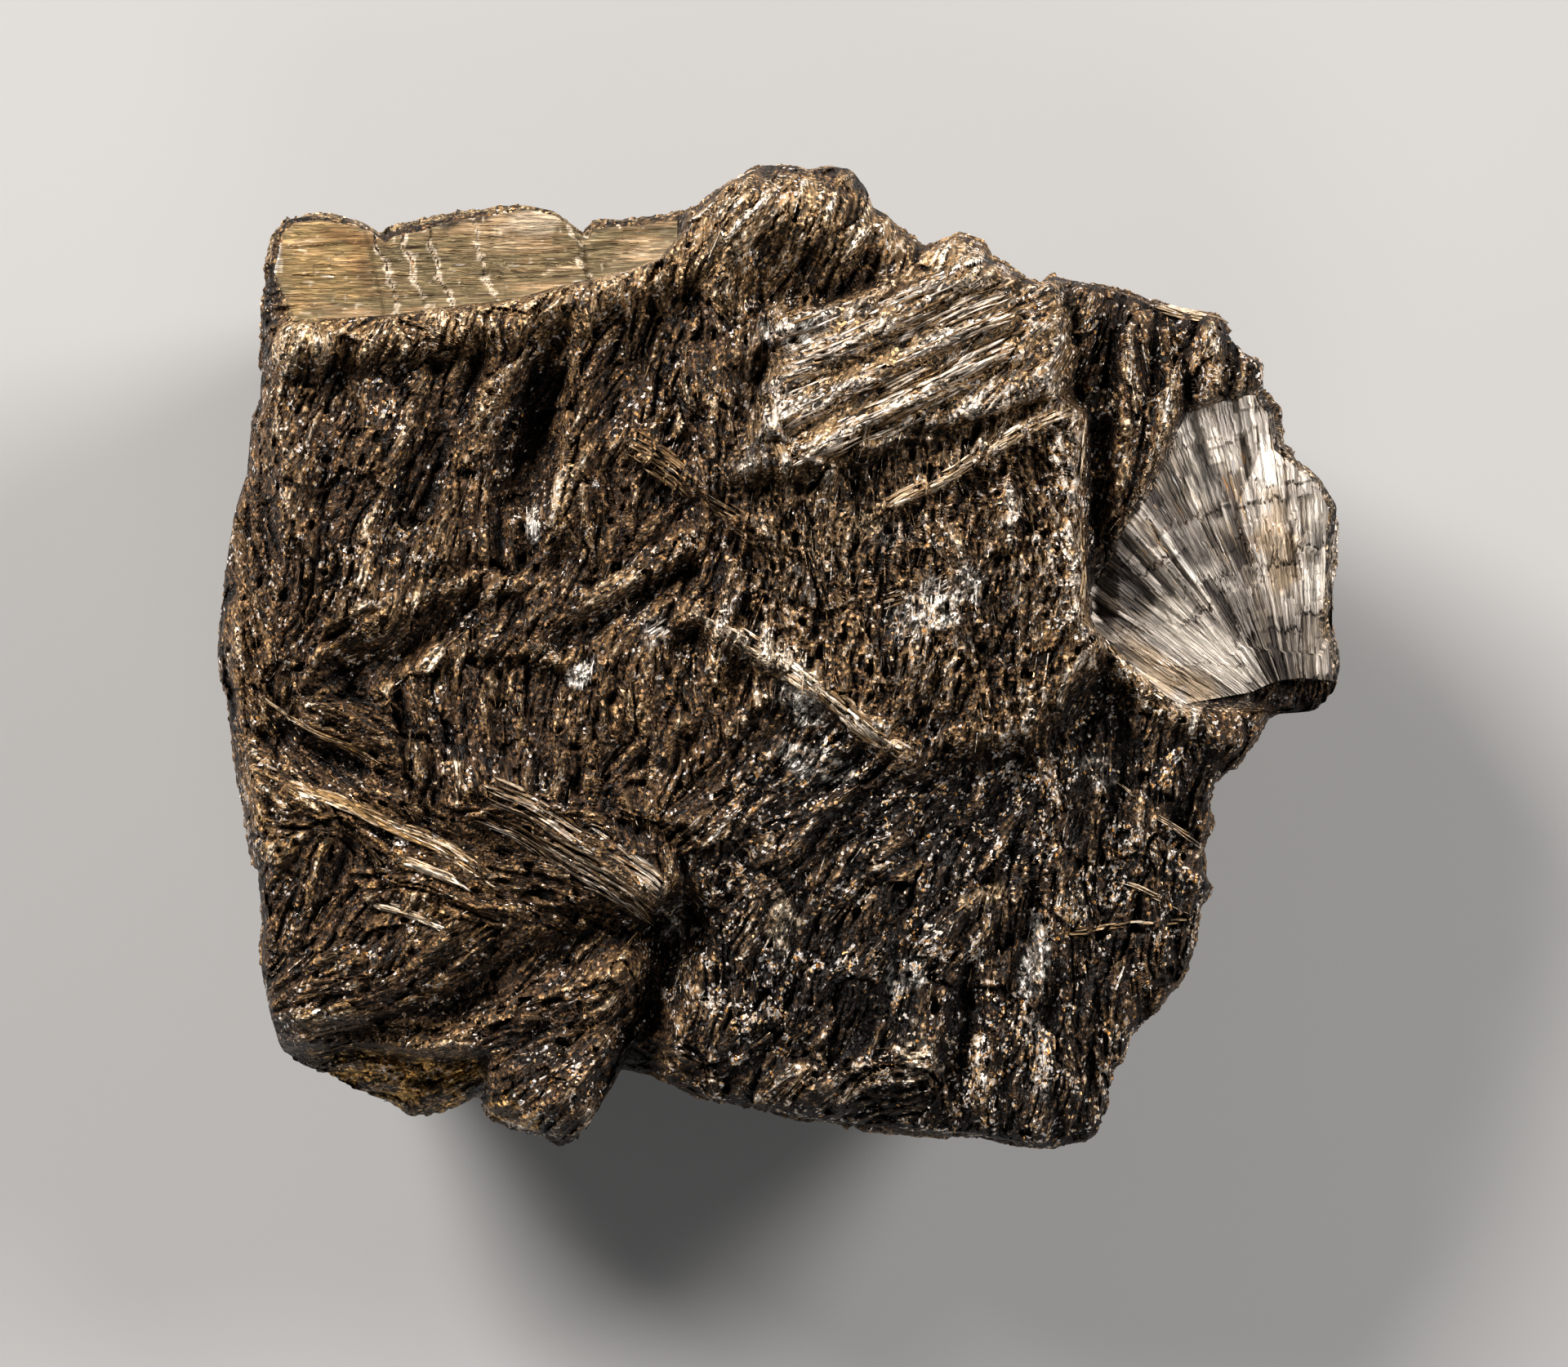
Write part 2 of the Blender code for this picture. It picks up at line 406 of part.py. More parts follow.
def broken_blocks(points):
    """Gives each block of the walls a step and a tilt inwards, and leaves the widest band as it is."""
    x, y, z = points.T
    cells = [np.floor(v / BLOCK_SIZE) for v in (x, y, z)]
    nearest, step = np.full(len(x), np.inf), np.zeros(len(x))
    offsets = [(i, j, k) for i in (-1, 0, 1) for j in (-1, 0, 1) for k in (-1, 0, 1)]
    for offset in offsets:
        cell = [c + o for c, o in zip(cells, offset)]
        away = [v - BLOCK_SIZE * (c + lattice_value(*cell, 20 + n))
                for n, (v, c) in enumerate(zip((x, y, z), cell))]
        far = np.sqrt(away[0] ** 2 + away[1] ** 2 + away[2] ** 2)
        tilts = [BLOCK_TILT * (2.0 * lattice_value(*cell, 30 + n) - 1.0) for n in range(3)]
        own = BLOCK_STEP * lattice_value(*cell, 40) + sum(t * v for t, v in zip(tilts, away))
        nearer = far < nearest
        step = np.where(nearer, own, step)
        nearest = np.where(nearer, far, nearest)
    out = np.maximum(np.hypot(x, y), 1.0)
    on_wall = smooth((out - BLOCKS_FROM) / BLOCKS_EASE) * bell((z - BLOCKS_HEIGHT) / BLOCKS_BAND)
    on_wall = on_wall * (1.0 - bell((z - WIDEST_HEIGHT) / WIDEST_BAND))
    inward = -np.clip(step, 0.0, None) * on_wall
    return points + np.column_stack([x / out, y / out, np.zeros_like(x)]) * inward[:, None]


def chipped(points):
    """Moves what lies beyond each flat fracture back onto it."""
    for chip in CHIPS:
        bearing, dip = math.radians(chip.bearing), math.radians(chip.dip)
        out = np.array([math.cos(bearing), math.sin(bearing), 0.0])
        facing = math.cos(dip) * out - np.array([0.0, 0.0, math.sin(dip)])
        outermost = np.max(np.array(OUTLINE) @ out[:2])
        leaves_at = outermost * out + np.array([0.0, 0.0, chip.height])
        beyond = np.clip((points - leaves_at) @ facing, 0.0, None)
        points = points - beyond[:, None] * facing
    return points


def fitted(points):
    """Scales and moves the points so that they fill the driving dimensions, centred over the origin."""
    low, high = points.min(0), points.max(0)
    size = np.array([LENGTH_X, WIDTH_Y, THICKNESS_Z])
    middle = np.array([*(low + high)[:2] / 2.0, low[2]])
    return (points - middle) * size / (high - low)


def cut_cube():
    """A cube from -1 to 1, its edges cut along each axis in turn."""
    mesh = bmesh.new()
    bmesh.ops.create_cube(mesh, size=2.0)
    for index, axis in enumerate("XYZ"):
        along = [e for e in mesh.edges if abs((e.verts[0].co - e.verts[1].co)[index]) > 1.0]
        bmesh.ops.subdivide_edges(mesh, edges=along, cuts=CUTS[axis], use_grid_fill=True)
    return mesh


def make_material():
    """Dark brown amphibole with a vitreous to pearly surface."""
    material = bpy.data.materials.new("fibrous_amphibole")
    material.use_nodes = True
    shader = material.node_tree.nodes["Principled BSDF"]
    shader.inputs["Base Color"].default_value = CRYSTAL_BROWN
    shader.inputs["Roughness"].default_value = 0.42
    shader.inputs["Metallic"].default_value = 0.0
    return material


def make_body(collection, material):
    """The whole mass as one closed mesh, thinned where it is flat."""
    mesh = cut_cube()
    cube = np.array([v.co for v in mesh.verts])
    points = fitted(chipped(broken_blocks(spread(cube)))) * MM
    for vertex, place in zip(mesh.verts, points):
        vertex.co = place
    bmesh.ops.triangulate(mesh, faces=mesh.faces)
    bmesh.ops.recalc_face_normals(mesh, faces=mesh.faces)
    faces = len(mesh.faces)
    data = bpy.data.meshes.new(NODE)
    mesh.to_mesh(data)
    mesh.free()
    data.materials.append(material)
    body = bpy.data.objects.new(NODE, data)
    collection.objects.link(body)
    thin = body.modifiers.new("thin", "DECIMATE")
    thin.ratio = SOLID_TRIANGLES / faces
    return body


def make_blade(blade, number, collection):
    """A lozenge prism, tapered to its far end, sunk in the display face along its length."""
    ends = []
    for x, y in (blade.start, blade.end):
        height = display_height(np.array([x]), np.array([y]))[0]
        ends.append(Vector((x, y, height)))
    half_height = blade.width / LOZENGE_RATIO
    spine = (ends[1] - ends[0]).normalized()
    side = Vector((0.0, 0.0, 1.0)).cross(spine).normalized()
    up = spine.cross(side)
    mesh = bmesh.new()
    bmesh.ops.create_cone(
        mesh, segments=4, radius1=1.0, radius2=BLADE_TAPER, depth=(ends[1] - ends[0]).length,
        cap_ends=True)
    turn = Matrix((side * blade.width, up * (half_height + blade.lift), spine)).transposed().to_4x4()
    sunk = (ends[0] + ends[1]) / 2.0
    mesh.transform(Matrix.Scale(MM, 4) @ Matrix.Translation(sunk) @ turn)
    bmesh.ops.recalc_face_normals(mesh, faces=mesh.faces)
    data = bpy.data.meshes.new(f"blade_{number:02d}")
    mesh.to_mesh(data)
    mesh.free()
    crystal = bpy.data.objects.new(data.name, data)
    crystal.hide_render = True
    crystal.display_type = "WIRE"
    collection.objects.link(crystal)


def main():
    """Builds the specimen in its own collection, with the crystals fused to it in another."""
    for old in list(bpy.data.objects):
        bpy.data.objects.remove(old)
    specimen = bpy.data.collections.new("anthophyllite_specimen")
    crystals = bpy.data.collections.new("fused_crystals")
    for collection in (specimen, crystals):
        bpy.context.scene.collection.children.link(collection)
    body = make_body(specimen, make_material())
    for number, blade in enumerate(BLADES):
        make_blade(blade, number, crystals)
    fuse = body.modifiers.new("fuse_crystals", "BOOLEAN")
    fuse.operation = "UNION"
    fuse.operand_type = "COLLECTION"
    fuse.collection = crystals
    fuse.solver = "EXACT"


main()
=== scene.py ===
"""Looks of an anthophyllite hand specimen: matted bronze-brown fibres with bladed crystals grown into them.

The specimen lies on its back, and the camera looks straight down on its display face. Tables and shape
functions work in millimetres over the resting plane, with +X to the right, +Y towards the crown and +Z out
of the display face. Meshes are in metres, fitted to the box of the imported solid. A tone is a linear colour.
"""

import itertools
import logging
import math
import sys
from dataclasses import dataclass, field
from enum import Enum
from typing import Callable

import bpy
import numpy as np
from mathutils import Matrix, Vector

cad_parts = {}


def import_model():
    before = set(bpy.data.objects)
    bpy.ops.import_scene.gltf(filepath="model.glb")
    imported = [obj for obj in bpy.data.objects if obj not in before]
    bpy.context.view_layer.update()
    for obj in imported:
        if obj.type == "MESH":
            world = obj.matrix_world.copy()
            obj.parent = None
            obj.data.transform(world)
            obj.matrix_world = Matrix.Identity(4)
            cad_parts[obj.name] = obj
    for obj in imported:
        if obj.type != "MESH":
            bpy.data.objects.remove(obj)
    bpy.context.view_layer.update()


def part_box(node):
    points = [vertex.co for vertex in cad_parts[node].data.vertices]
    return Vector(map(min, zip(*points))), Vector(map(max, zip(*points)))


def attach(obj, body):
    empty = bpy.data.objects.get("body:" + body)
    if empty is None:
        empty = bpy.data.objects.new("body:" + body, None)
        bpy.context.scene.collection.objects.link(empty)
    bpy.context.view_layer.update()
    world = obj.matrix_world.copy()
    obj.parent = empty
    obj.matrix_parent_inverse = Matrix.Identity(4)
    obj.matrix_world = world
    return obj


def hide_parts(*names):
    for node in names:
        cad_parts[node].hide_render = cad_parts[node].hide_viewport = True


NODE = "anthophyllite"
BODY = "root"
BAKE_MAP = "OFBake"
GRAIN_MAP = "grain"
TINT = "tint"
NEIGHBOURS = (-1, 0, 1)

Array = np.ndarray
Object = bpy.types.Object
Tone = tuple[float, float, float]
Place = tuple[float, float]

log = logging.getLogger("specimen")

# ---- tones

# The near-black tone below is painted shade: gaps, pits, hollows and grooves between the fibres, at the dark
# end of the rows of tones and in the near-black patches.
GAP_SHADE: Tone = (0.005, 0.003, 0.002)
SOOT: Tone = (0.016, 0.009, 0.005)
UMBER: Tone = (0.045, 0.024, 0.0115)
BRONZE: Tone = (0.11, 0.061, 0.025)
FAWN: Tone = (0.21, 0.132, 0.064)
TAN: Tone = (0.36, 0.255, 0.15)
CREAM: Tone = (0.63, 0.51, 0.37)
WHITE: Tone = (0.86, 0.80, 0.71)
SILVER: Tone = (0.42, 0.37, 0.32)
SLATE: Tone = (0.070, 0.057, 0.050)
OLIVE: Tone = (0.155, 0.115, 0.058)
SAGE: Tone = (0.195, 0.157, 0.116)
GOLD: Tone = (0.42, 0.25, 0.075)
AMBER: Tone = (0.62, 0.35, 0.11)
OCHRE: Tone = (0.23, 0.135, 0.05)
RUST: Tone = (0.17, 0.074, 0.024)
PEARL: Tone = (0.62, 0.55, 0.465)


def ramp(share: Array, tones: tuple[Tone, ...]) -> Array:
    """Colours read from a row of evenly spaced tones, at 0 the first and at 1 the last."""
    stops = np.linspace(0.0, 1.0, len(tones))
    channels = np.array(tones).T
    return np.stack([np.interp(share, stops, channel) for channel in channels], -1)


def blend(first: Array, second: Array | Tone | float, share: Array) -> Array:
    """The first carried towards the second by a share."""
    return first + (second - first) * share


def tinted(colour: Array, glint: Array) -> Array:
    """A colour and a share of glinting facets as one row of four for each place."""
    return np.concatenate([colour, glint[..., None]], -1)


# ---- noise and distances


def smooth(t: Array) -> Array:
    """Smooth step from 0 to 1 as t goes from 0 to 1: 3t^2 - 2t^3."""
    t = np.clip(t, 0.0, 1.0)
    return t * t * (3.0 - 2.0 * t)


def step(value: Array, start: float, width: float) -> Array:
    """0 up to a start and 1 from a width beyond it, with a smooth step between."""
    return smooth((value - start) / width)


def bell(t: Array) -> Array:
    """1 at t = 0, falling smoothly to 0 at t = 1 and beyond."""
    return 1.0 - smooth(np.abs(t))


def lattice(ix: Array, iy: Array, iz: Array, seed: float) -> Array:
    """A fixed random number from 0 to 1 for each lattice point: the fraction of a large sine."""
    spun = np.sin(ix * 127.1 + iy * 311.7 + iz * 74.7 + seed * 53.3) * 43758.5453
    return spun - np.floor(spun)


def noise(x: Array, y: Array, z: Array, seed: float) -> Array:
    """Smooth value noise from -1 to 1: the values of the eight lattice points round a place, blended."""
    cells = [np.floor(v) for v in (x, y, z)]
    near = [smooth(v - cell) for v, cell in zip((x, y, z), cells)]
    total = 0.0
    for corner in range(8):
        bits = (corner & 1, corner >> 1 & 1, corner >> 2)
        weight = 1.0
        for bit, t in zip(bits, near):
            weight = weight * (t if bit else 1.0 - t)
        total = total + weight * lattice(*(cell + bit for cell, bit in zip(cells, bits)), seed)
    return 2.0 * total - 1.0


def flat_noise(x: Array, y: Array, seed: float) -> Array:
    """The noise over a plane."""
    return noise(x, y, 0.0 * x, seed)


def signed(first: Array, second: Array, seed: float) -> Array:
    """A fixed random number from -1 to 1 for each pair of whole numbers."""
    return 2.0 * lattice(first, second, 0, seed) - 1.0


def turned(x: Array, y: Array, angle: Array) -> tuple[Array, Array]:
    """Distances along and across a direction: x cos a + y sin a, and y cos a - x sin a."""
    return x * np.cos(angle) + y * np.sin(angle), y * np.cos(angle) - x * np.sin(angle)


def distance_to_line(x: Array, y: Array, line: list[Place]) -> Array:
    """Distance from each point to an open polyline, the least of the distances to its stretches."""
    nearest = np.full(np.shape(x), np.inf)
    for (ax, ay), (bx, by) in zip(line[:-1], line[1:]):
        dx, dy = bx - ax, by - ay
        share = np.clip(((x - ax) * dx + (y - ay) * dy) / (dx * dx + dy * dy), 0.0, 1.0)
        nearest = np.minimum(nearest, np.hypot(x - ax - share * dx, y - ay - share * dy))
    return nearest


def depth_inside(x: Array, y: Array, outline: list[Place]) -> Array:
    """Distance to a closed outline, positive where an odd number of its sides lies to the right."""
    closed = list(outline) + [outline[0]]
    crossings = np.zeros(np.shape(x), int)
    for (ax, ay), (bx, by) in zip(closed[:-1], closed[1:]):
        spans = (ay > y) != (by > y)
        crossings += spans & (x < (bx - ax) * (y - ay) / (by - ay + 1e-12) + ax)
    return np.where(crossings % 2 == 1, 1.0, -1.0) * distance_to_line(x, y, closed)


def unit(vectors: Array) -> Array:
    """The vectors scaled to a length of 1."""
    return vectors / np.maximum(np.linalg.norm(vectors, axis=-1, keepdims=True), 1e-12)


# ---- the specimen's form


@dataclass(frozen=True)
class Facet:
    """A broad plane of the display face: its outline, a height at its middle, slopes and edge width."""

    outline: list[Place]
    middle: Place
    height: float
    rise_x: float
    rise_y: float
    edge: float

    def inside(self, x: Array, y: Array) -> Array:
        """1 well inside the facet and 0 well outside, with a smooth step as wide as its edge."""
        return smooth(0.5 + depth_inside(x, y, self.outline) / self.edge)

    def plane(self, x: Array, y: Array) -> Array:
        """Height of the facet's plane."""
        return self.height + self.rise_x * (x - self.middle[0]) + self.rise_y * (y - self.middle[1])


@dataclass(frozen=True)
class Ridge:
    """A raised line, or with a negative height a fold: its line, half width and height."""

    line: list[Place]
    width: float
    height: float


@dataclass(frozen=True)
class Mound:
    """A rounded knob or pit: its centre, radii and height."""

    centre: Place
    radii: Place
    height: float


@dataclass(frozen=True)
class Chip:
    """A flat fracture: bearing and dip in degrees, and the height where it leaves the outermost point."""

    bearing: float
    dip: float
    height: float


LOWER_RIGHT = Facet(
    [(11, -9.6), (20.8, -7.9), (26.7, -0.9), (33.4, -5.1), (37.6, -6.8), (36.2, -20.8), (35.1, -25.4),
     (29.9, -34.1), (27.1, -41.1), (23.6, -43.2), (3.3, -40.8), (-7.2, -38.3), (-10.7, -27.8),
     (-7.6, -21.5), (-6.5, -13.8), (-3.7, -6.8), (3.3, -5.4)],
    (15, -24), 31.8, -0.05, 0.10, 5)
PLATEAU = Facet(
    [(-3.4, 14.2), (9.6, 16.8), (23.9, 21.2), (25.4, 20.1), (25.1, 11.4), (25.5, 3), (26.4, -0.2),
     (20.8, -7.2), (11, -8.9), (1.9, -1.9), (-6.5, 3), (-0.2, 8.6)],
    (15, 8), 36.4, 0.07, 0.02, 3)
BAND = Facet(
    [(-3.7, 15.2), (-2, 19.8), (0.1, 25.4), (-0.9, 29.2), (6.1, 29.9), (16.6, 33.4), (23.2, 32),
     (24.3, 26.8), (23.2, 21.5), (9.6, 17), (3.3, 14.7)],
    (10, 23), 37.2, 0.03, -0.12, 2.5)
RECESS = Facet(
    [(25.8, 20.5), (24.3, 31.7), (31.3, 32.6), (38.3, 30.2), (42.1, 26.4), (41.1, 22.6), (34.8, 20.8),
     (31.3, 14.2), (26.4, 5.2)],
    (33, 21), 31.8, -0.16, -0.04, 1.4)
FAN = Facet(
    [(26, 5.8), (31.3, 14.9), (34.1, 20.8), (41.5, 22.9), (43.9, 18.6), (48.8, 14.1), (49.1, 3),
     (49.8, -3.3), (45.3, -6.1), (40.4, -4.2), (33.4, -4.2), (26.4, 1.9)],
    (38, 6), 28.8, -0.28, 0.04, 1.5)
SLAB = Facet(
    [(-44.9, 39.3), (-43.4, 34.2), (-40.7, 28.2), (-33.1, 28.7), (-26.8, 29.7), (-21.9, 30.3),
     (-17.7, 31.5), (-12.8, 32.7), (-9.7, 33.9), (-8.1, 36.2), (-7.2, 40.7), (-22, 41.5)],
    (-25, 34), 27.2, 0, -0.42, 1)
LOWER_LEFT = Facet(
    [(-44.7, -8.9), (-33.1, -14.5), (-21.9, -19.8), (-21.9, -21.9), (-27.5, -28.2), (-35.2, -31),
     (-43.6, -31.7), (-44.7, -20.8)],
    (-34, -21), 32.6, 0.04, 0.05, 2.5)
STRIPED_FOOT = Facet(
    [(-42.9, -33.8), (-24.7, -34), (-25.4, -39.5), (-28.9, -41.8), (-33.1, -42.1), (-38.7, -39.5)],
    (-34, -37.5), 23.5, 0.03, 0.45, 2)

# The outline from above, clockwise from the slab's left end. Its bearing never turns back.
OUTLINE = [
    (-43, 37), (-42, 38), (-40, 38.3), (-37.5, 38), (-35.4, 37.4), (-34.1, 36.4), (-33.5, 37), (-31, 37.6),
    (-27.5, 38.5), (-24.5, 39), (-22, 39.5), (-19.5, 39), (-17.7, 37.7), (-16.8, 37.1), (-16, 38),
    (-12.5, 38.2), (-8.5, 38.8), (-7, 38.7), (-5, 40.2), (-2.5, 41.8), (-1.3, 42.5), (1, 42.5), (2.5, 41.9),
    (4.5, 42.5), (6, 42.4), (7.4, 41), (8, 39), (9.2, 38.4), (10.4, 37.2), (12.4, 35.5), (14, 36),
    (15.5, 36.5), (17.4, 35.8), (18, 34.5), (19.6, 33.8), (21, 32.5), (22.3, 32.1), (23.5, 33),
    (26.4, 32.2), (29, 31.6), (31.5, 30.6), (35, 29.7), (37.5, 29.2), (38.4, 27.8), (39.6, 26), (41, 25.4),
    (41.5, 22.6), (42.5, 21.5), (42.9, 18.4), (44.6, 17), (46.6, 15.2), (47.9, 13.1), (47.6, 10),
    (47.5, 5.8), (47.2, 3), (48, 1), (48.4, -3.3), (46.6, -4.6), (44.8, -4.9), (41.7, -5), (41.4, -5.6),
    (40.4, -7.2), (39, -9.3), (37.2, -11), (36.7, -12.8), (37, -14.2), (36, -16.5), (36.2, -18.7),
    (37, -20.1), (36, -21.3), (35.7, -22.8), (35.1, -25.4), (34.5, -27.5), (33.4, -29.2), (31.6, -31.5),
    (30.2, -33), (29.6, -34.7), (28.7, -35.6), (28, -38.2), (27.3, -41.1), (26.1, -41.9), (23.5, -42.5),
    (20.6, -42.1), (16.8, -41.4), (12.5, -41.1), (8.4, -40.8), (3.5, -40.2), (-0.6, -39.4), (-7.2, -37.9),
    (-9.3, -36.9), (-11, -36.3), (-13.7, -36.2), (-14.9, -38.1), (-16, -40.3), (-17.2, -41.6),
    (-18.7, -42.2), (-20.1, -41.4), (-22.4, -40.9), (-24.9, -39.9), (-25.9, -38.4), (-28.6, -40.2),
    (-30.8, -40.7), (-32.4, -40.6), (-34, -39.5), (-36.9, -38.6), (-38.5, -37.7), (-39.6, -36.6),
    (-42, -35.6), (-43, -33.6), (-43.7, -31), (-44.4, -27.5), (-44.1, -23), (-44.7, -18.6), (-45.5, -16),
    (-46, -14.2), (-47.1, -7.4), (-47.4, -4.4), (-48.3, 0.2), (-47.8, 5.5), (-47.5, 9), (-46.8, 12.9),
    (-45.8, 16), (-45.4, 20.6), (-44.6, 22.7), (-44.2, 26.8), (-44.4, 29.1), (-43.7, 34), (-43.4, 36),
]

# How the display face rolls over at the outline: bearing in degrees, drop and width of the roll.
RIM_ROLL = [
    (0, 3, 3.5), (40, 5, 4), (75, 7, 5), (90, 8, 6), (104, 5, 4), (118, 2, 2), (140, 4, 3), (152, 9, 5.5),
    (180, 12, 7), (200, 11, 7), (220, 8, 6), (240, 9, 6), (255, 6, 4), (275, 7, 4), (295, 5, 4),
    (320, 6, 5), (345, 5, 4),
]

CENTRAL_RIDGE = [(-6.9, 3.5), (0.5, -0.9), (7.5, -6.1), (11.3, -9.1)]
LEFT_RIDGE = [(-12.8, 18.4), (-6.5, 13.8), (-0.6, 9.6)]
RIDGES = tuple(Ridge(*row) for row in (
    ([(-3.7, 38.7), (-5.1, 28.2), (-5.8, 22.6), (-4.8, 16.3)], 2.6, 3),
    ([(-40.5, 26.4), (-33, 26.9), (-26.8, 27.9), (-21.9, 28.5), (-17.7, 29.7), (-12.8, 31), (-8.6, 33.3)],
     2.2, 2.8),
    ([(-38, 26), (-40.5, 19), (-41, 11)], 1.8, 1.5),
    ([(-30.5, 26), (-33.5, 19), (-35.5, 10), (-34.5, 3)], 2, 1.5),
    ([(-22.5, 27), (-26, 18), (-28, 9)], 1.8, 1.3), ([(-14, 30), (-16.5, 22), (-18.5, 12)], 1.9, 1.8),
    (LEFT_RIDGE, 1.5, 1.4),
    (CENTRAL_RIDGE, 1.4, 1.8),
    ([(-25.4, -11.4), (-17.7, -15.2), (-11.4, -19.4), (-8.5, -22.1)], 2.6, 2.4),
    ([(8.9, 12.4), (15.9, 16.3), (24.3, 21), (25, 19.8), (24.9, 11.4), (25, 3)], 0.9, 0.9),
    ([(26.4, 1.9), (30.6, -2.6), (34.1, -5.4), (38, -7.4)], 1.3, 1.8),
    ([(-19.4, 22.5), (-21.5, 14.5)], 2.2, -4), ([(-36.2, -2.1), (-26.6, 4.3)], 1.6, -2.6),
    ([(-18.4, 1.2), (-13.2, 4), (-7.7, 7.2)], 1, -2.2), ([(26.7, 19), (26.5, 11), (26.7, 4)], 1.2, -2.4),
    ([(-42.5, -7), (-36, -9.6)], 1.4, -2.2),
    ([(-7.9, -22.6), (-14.9, -23.6), (-21.9, -26.4), (-28.9, -30.3), (-36.6, -32.6)], 2.2, -2.8),
    ([(-8.5, -21.9), (-9.9, -26.4), (-11.4, -31.3), (-12.7, -36.6)], 2.4, -6),
))

MOUNDS = tuple(Mound(*row) for row in (
    ((0.3, 37.4), (8.5, 6.5), 5.2), ((9.3, 35.6), (2.2, 2.6), 1.6), ((15.6, 33.8), (2.8, 2.6), 2.2),
    ((24.6, 30.4), (2.2, 2.4), 1.6), ((-32.4, 4.7), (3, 3.4), 1.6), ((-20.2, -38), (5, 4.6), 3.5),
    ((-28.6, 24.5), (0.9, 0.9), -1.6),
))

CHIPS = tuple(Chip(*row) for row in (
    (4, 24, 23), (33, 30, 24), (60, 22, 26), (86, 28, 22), (101, 16, 24), (124, 26, 23), (148, 30, 22),
    (171, 27, 24), (193, 18, 23), (216, 28, 22), (240, 20, 25), (263, 30, 22), (286, 17, 23), (309, 27, 26),
    (332, 20, 30), (350, 36, 22), (15, 62, 11), (75, 66, 10), (138, 60, 12), (182, 64, 9), (229, 62, 12),
    (276, 66, 9), (322, 60, 14),
))

# Fibre directions over the display face, in degrees from +X: place and angle.
STROKES = (
    (-45, 14, 85), (-46, 0, 88), (-45, -10, 95), (-43, -24, 72), (-39, 25, 70), (-35, 20, 70),
    (-30, 26, 65), (-24, 25, 65), (-17, 26, 58), (-13, 30, 60), (-15, 22, 65), (-9, 21, 80), (-6, 28, 95),
    (-4, 33, 60), (-6, 25, 85), (-5, 17, 95), (1, 38, 65), (6, 35, 62), (10, 33, 60), (16, 34, 70),
    (3, 31, 50), (3, 26, 27), (10, 25, 27), (17, 28, 27), (3, 20, 27), (10, 20, 30), (21, 29, 25),
    (0, 14, 100), (10, 17, 98), (21, 14, 95), (17, 7, 85), (24, 11, 90), (10, 7, 95), (3, 4, 95),
    (28, 27, 80), (31, 25, 85), (35, 26, 85), (30, 17, 80), (35, 22, 88), (28, 11, 60), (-4, -10, 47),
    (0, -14, 45), (7, -17, 40), (3, -24, 60), (17, -14, 70), (14, -21, 60), (24, -14, 80), (31, -17, 85),
    (21, -28, 88), (28, -28, 85), (33, -24, 80), (17, -35, 85), (10, -31, 80), (24, -37, 88), (3, -31, 60),
    (0, -35, 30), (10, -38, 170), (-4, -28, 80), (-7, -21, 95), (-18, 14, 85), (-13, 11, 75), (-22, 11, 85),
    (-27, 14, 80), (-33, 11, 85), (-37, 6, 85), (-42, 11, 88), (-32, 4, 60), (-25, 3, 40), (-18, 3, 45),
    (-11, 8, 45), (-35, 0, 30), (-28, -3, 85), (-21, -3, 88), (-14, -3, 85), (-9, -3, 85), (-18, -10, 80),
    (-11, -8, 60), (-27, -9, 85), (-35, -7, 150), (-40, -11, 155), (-32, -15, 155), (-25, -18, 153),
    (-18, -16, 152), (-12, -19, 145), (-37, -17, 65), (-42, -24, 75), (-35, -24, 50), (-29, -24, 45),
    (-33, -29, 30), (-39, -30, 25), (-25, -26, 40), (-18, -26, 30), (-28, -32, 15), (-21, -31, 25),
    (-15, -30, 45), (-39, -35, 0), (-32, -36, 177), (-35, -38, 170), (-29, -38, 10), (-22, -37, 50),
    (-18, -39, 40), (-9, -30, 85), (-11, -35, 160), (-39, 34, 2), (-25, 35, 3), (-13, 36, 5),
)


